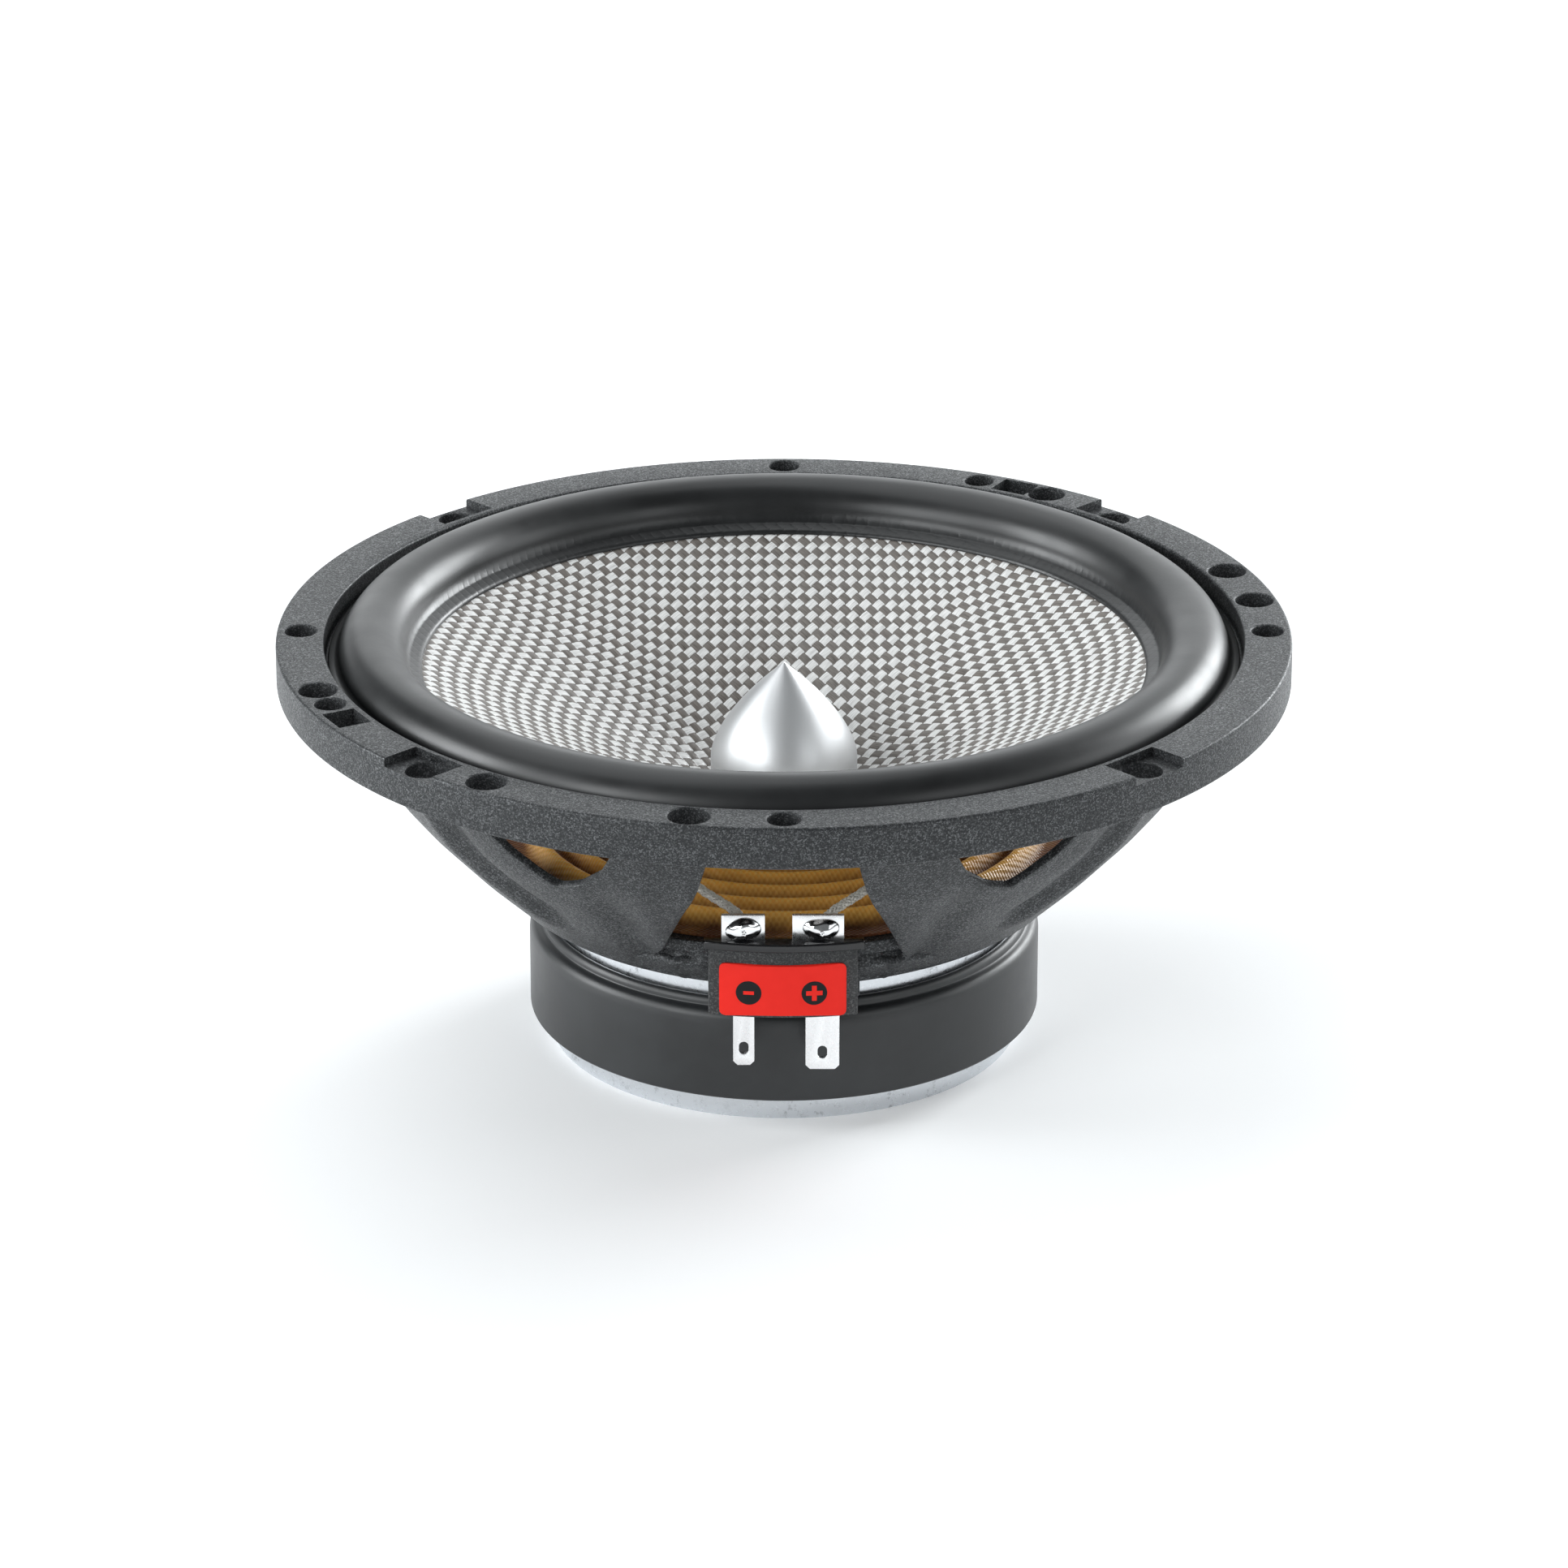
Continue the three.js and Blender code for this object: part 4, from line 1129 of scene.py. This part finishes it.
terminals = {
    "minus": {"lug": (-9.9, -3.0), "tab": (-8.1, -4.7), "foot": 13.6, "lead": -6.4},
    "plus": {"lug": (1.3, 9.5), "tab": (3.4, 8.8), "foot": 12.9, "lead": 5.9},
}
strip = {"y": -47.0, "thick": 0.8, "lugTop": 39.6, "lugFoot": 35.35, "corner": 0.7, "slotR": 0.75, "slotZ": 3,
         "slotHalf": 0.3}
solderShape = {"z": 37.3, "halfWidth": 1.95, "halfHeight": 1.55, "depth": 1.0, "flare": 0.35, "rings": 22,
               "around": 40, "strands": 5, "strandR": 0.16, "bundleR": 0.28}
leadRoute = [(-6.15, -46.05, 36.6), (-6.4, -45.6, 37.9), (-8.05, -44.3, 39.2), (-13.3, -40, 41),
             (-18.5, -34.6, 43.2), (-22, -30, 45.8), (-23.6, -27, 48.6), (-24, -25.6, 51.3)]


def makeTerminal(name, t, s):
    (l0, l1), (t0, t1), foot, c = t["lug"], t["tab"], t["foot"], s["corner"]
    outline = [(t0 + c, foot), (t1 - c, foot), (t1, foot + c), (t1, s["lugFoot"]), (l1, s["lugFoot"]),
               (l1, s["lugTop"]), (l0, s["lugTop"]), (l0, s["lugFoot"]), (t0, s["lugFoot"]), (t0, foot + c)]
    half, slotR = s["thick"] / 2, s["slotR"]
    piece = prism(name, outline, s["y"] - half, s["y"] + half, "Y")
    x, slot = (t0 + t1) / 2, []
    for a in np.linspace(0.01, 2 * math.pi + 0.01, 28, endpoint=False):
        z = foot + s["slotZ"] + math.copysign(s["slotHalf"], math.sin(a))
        slot.append((x + slotR * math.cos(a), z + slotR * math.sin(a)))
    cut(piece, prism("slot", slot, s["y"] - 2, s["y"] + 2, "Y"))
    return smooth(bevelEdges(piece, 0.1, 2, 40), 35)


# a blob that wets the lug's front and stands up round the wire's end
def makeSolder(name, x, strip, s, seed):
    phases = np.random.default_rng(seed).uniform(0, 2 * math.pi, 6)
    rings, around, z = s["rings"], s["around"], s["z"]
    front = strip["y"] - strip["thick"] / 2
    points = []
    for i in range(rings + 1):
        tilt = math.pi / 2 * i / rings
        flare = 1 + s["flare"] * (i / rings) ** 6
        for k in range(around):
            a = 2 * math.pi * k / around
            lobes = 1 + 0.10 * math.sin(2 * a + phases[0]) + 0.05 * math.sin(3 * a + phases[1])
            swell = 1 + 0.10 * math.sin(2 * a + 2 * tilt + phases[2]) * math.sin(2 * tilt)
            spread = math.sin(tilt) * lobes * flare
            points.append((x + s["halfWidth"] * spread * math.cos(a),
                           front - s["depth"] * math.cos(tilt) ** 0.8 * swell,
                           z - 0.1 + s["halfHeight"] * spread * math.sin(a)))
    points += [(px, strip["y"] + 0.1, pz) for px, _, pz in points[-around:]]
    faces = [[i + k, i + (k + 1) % around, i + around + (k + 1) % around, i + around + k]
             for i in range(0, len(points) - around, around) for k in range(around)]
    faces.append(list(range(len(points) - around, len(points))))
    parts = [closedMesh(name + "Dome", points, faces)]
    for k in range(s["strands"]):
        turn = 2 * math.pi * k / s["strands"] + phases[3]
        a, b = s["bundleR"] * math.cos(turn), s["bundleR"] * math.sin(turn)
        strand = [(x + a * (1 - 0.1 * j) + 0.05 * j, strip["y"] - 1.0 - 0.22 * j, z - 0.2 + b - 0.06 * j)
                  for j in range(4)]
        parts.append(tube("strand", np.array(strand), s["strandR"], 8))
    return smooth(join(name, parts), 60)


# a closed round bar along a path of points
def tube(name, path, radius, sides):
    tangents = np.gradient(path, axis=0)
    tangents /= np.linalg.norm(tangents, axis=1)[:, None]
    side = np.cross(tangents[0], (0.3, 0.2, 1.0))
    points = []
    for p, t in zip(path, tangents):
        side = side - t * np.dot(side, t)
        side /= np.linalg.norm(side)
        up = np.cross(t, side)
        for a in 2 * math.pi * np.arange(sides) / sides:
            points.append(tuple(p + radius * (math.cos(a) * side + math.sin(a) * up)))
    faces = [[i + k, i + (k + 1) % sides, i + sides + (k + 1) % sides, i + sides + k]
             for i in range(0, len(points) - sides, sides) for k in range(sides)]
    faces += [list(range(sides))[::-1], list(range(len(points) - sides, len(points)))]
    return closedMesh(name, points, faces)


# Catmull-Rom through the points
def smoothPath(points, perSpan):
    points = np.array(points, float)
    padded = np.vstack([2 * points[0] - points[1], points, 2 * points[-1] - points[-2]])
    out = []
    for a, b, c, d in zip(padded, padded[1:], padded[2:], padded[3:]):
        for t in np.linspace(0, 1, perSpan, endpoint=False):
            square, cube = (2 * a - 5 * b + 4 * c - d) * t * t, (3 * b - a - 3 * c + d) * t ** 3
            out.append(0.5 * (2 * b + (c - a) * t + square + cube))
    return np.array(out + [points[-1]])


braid = {"radius": 0.82, "strands": 6, "strandR": 0.2, "lay": 5.6, "over": 0.09, "perSpan": 26, "step": 0.16}


# strands wound both ways round the route, each passing over and under the others
def makeLead(name, route, b):
    route = smoothPath(route, b["perSpan"])
    lengths = np.concatenate([[0], np.cumsum(np.linalg.norm(np.diff(route, axis=0), axis=1))])
    even = np.linspace(0, lengths[-1], int(lengths[-1] / b["step"]))
    path = np.column_stack([np.interp(even, lengths, route[:, i]) for i in range(3)])
    tangents = np.gradient(path, axis=0)
    tangents /= np.linalg.norm(tangents, axis=1)[:, None]
    normals = []
    normal = np.cross(tangents[0], (1.0, 0, 0))
    for t in tangents:
        normal = normal - t * np.dot(normal, t)
        normal = normal / np.linalg.norm(normal)
        normals.append(normal)
    normals = np.array(normals)
    others = np.cross(tangents, normals)
    parts = [tube("core", path, b["radius"] - 2 * b["strandR"] - 0.02, 10)]
    turns = 2 * math.pi * even / b["lay"]
    for direction in (1, -1):
        for k in range(b["strands"]):
            angle = direction * turns + 2 * math.pi * k / b["strands"]
            weaving = direction * np.cos(b["strands"] * turns + math.pi * k)
            radius = b["radius"] - b["strandR"] + b["over"] * (weaving - 1)
            across, up = (radius * np.cos(angle))[:, None], (radius * np.sin(angle))[:, None]
            parts.append(tube("strand", path + across * normals + up * others, b["strandR"], 6))
    return smooth(join(name, parts), 60)


for seed, (pole, sizes) in enumerate(terminals.items(), 11):
    terminal = makeTerminal(pole + "Terminal", sizes, strip)
    finishPiece(terminal, "frame", "tinned_terminal", [pole + "_terminal"], tinPlate)
    joint = makeSolder(pole + "Solder", sizes["lead"], strip, solderShape, seed)
    finishPiece(joint, "frame", "solder", [pole + "_solder_joint"], solderPaint)
    side = 1 if pole == "minus" else -1
    route = [(side * x, y, z) for x, y, z in leadRoute]
    lead = makeLead(pole + "Lead", route, braid)
    finishPiece(lead, None, "tinsel_braid", [pole + "_tinsel_lead"], leadPaint)
    start, end = (tuple(c * mm for c in route[i]) for i in (0, -1))
    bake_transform(lead)


# screws and rivets

screws = {"count": 4, "circleR": 31.0, "seat": motorTop + 2.4, "headR": 2.9, "headH": 1.7, "headRound": 0.5,
          "length": 6.0, "shankR": 1.5, "pitch": 0.5, "ridge": 0.2, "socketR": 1.2, "socketFloor": 0.7}
plugScrewShape = {"sinkR": 4, "sinkTop": 0.3, "socketR": 1.5, "socketDeep": 1.6, "neck": 2.2, "shankR": 2.0,
                  "ridge": 0.2, "firstRidge": 11.6, "ridges": 20, "bite": 8}


# a pan head with a six-sided recess, on a ridged shank, standing on the axis
def screwMesh(s):
    headR, headH, shankR, pitch = s["headR"], s["headH"], s["shankR"], s["pitch"]
    outline = [(0, headH), (1.3, headH), (headR - s["headRound"], headH), (headR, headH - s["headRound"]),
               (headR, 0), (shankR, 0)]
    for k in range(int(s["length"] / pitch)):
        outline += [(shankR - s["ridge"], -pitch * (k + 0.5)), (shankR, -pitch * (k + 1))]
    made = turned("screwShape", [*outline, (0, -s["length"])], 32)
    hexagon = [(s["socketR"] * math.cos(a), s["socketR"] * math.sin(a))
               for a in np.linspace(0, 2 * math.pi, 6, endpoint=False)]
    return smooth(cut(made, prism("recess", hexagon, s["socketFloor"], headH + 1)), 30)


# copies of a mesh at equal angles on a circle, the first at half a step
def ringOfTree(material):
    tree, ids, given = startTree("ringOf", [("Part", "Object"), ("Count", "Int"), ("Radius", "Float"),
                                            ("Height", "Float")])
    circle = wireFrom(tree, "GeometryNodeMeshCircle", {"Vertices": given["Count"], "Radius": given["Radius"]})
    half = combine(tree, z=calc("DIVIDE", math.pi, given["Count"]))
    lift = combine(tree, z=given["Height"])
    placed = wireFrom(tree, "GeometryNodeTransform",
                      {"Geometry": circle, "Rotation": half, "Translation": lift})
    part = wireFrom(tree, "GeometryNodeObjectInfo", {"Object": given["Part"]}, "Geometry")
    copies = wireFrom(tree, "GeometryNodeInstanceOnPoints", {"Points": placed, "Instance": part})
    endTree(tree, copies, material)
    return tree, ids


def makeBasketScrews(s):
    pattern = screwMesh(s)
    whole = growFromTree("basketScrews", *ringOfTree(screwZinc), {
        "Part": pattern, "Count": s["count"], "Radius": s["circleR"] * mm, "Height": s["seat"] * mm})
    bpy.data.objects.remove(pattern)
    return smooth(whole, 30)


def makePlugScrew(s):
    top, shankR = motorTop + s["bite"], s["shankR"]
    outline = [(0, s["socketDeep"]), (s["socketR"], s["socketDeep"]), (s["socketR"], s["sinkTop"]),
               (s["sinkR"], s["sinkTop"]), (shankR, s["neck"])]
    for z in s["firstRidge"] + np.arange(s["ridges"]):
        outline += [(shankR - s["ridge"], z), (shankR, z + 0.5)]
    return smooth(turned("plugScrew", outline + [(shankR, top), (0, top)], 48), 30)


screwNodes = ["basket_screw_%d" % (i + 1) for i in range(screws["count"])]
finishPiece(makeBasketScrews(screws), "frame", "zinc_screw", screwNodes, screwZinc)
finishPiece(makePlugScrew(plugScrewShape), "frame", "zinc_screw", ["plug_screw"], screwZinc)


# CAD pieces that stay

kept = {"ferrite_magnet": ferritePaint, "block_rivet_1": screwZinc, "block_rivet_2": screwZinc}
for node, material in kept.items():
    paint(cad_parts[node], material)

low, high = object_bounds()
sizes = {"cad": [list(cadLow), list(cadHigh)], "visual": [list(low), list(high)]}
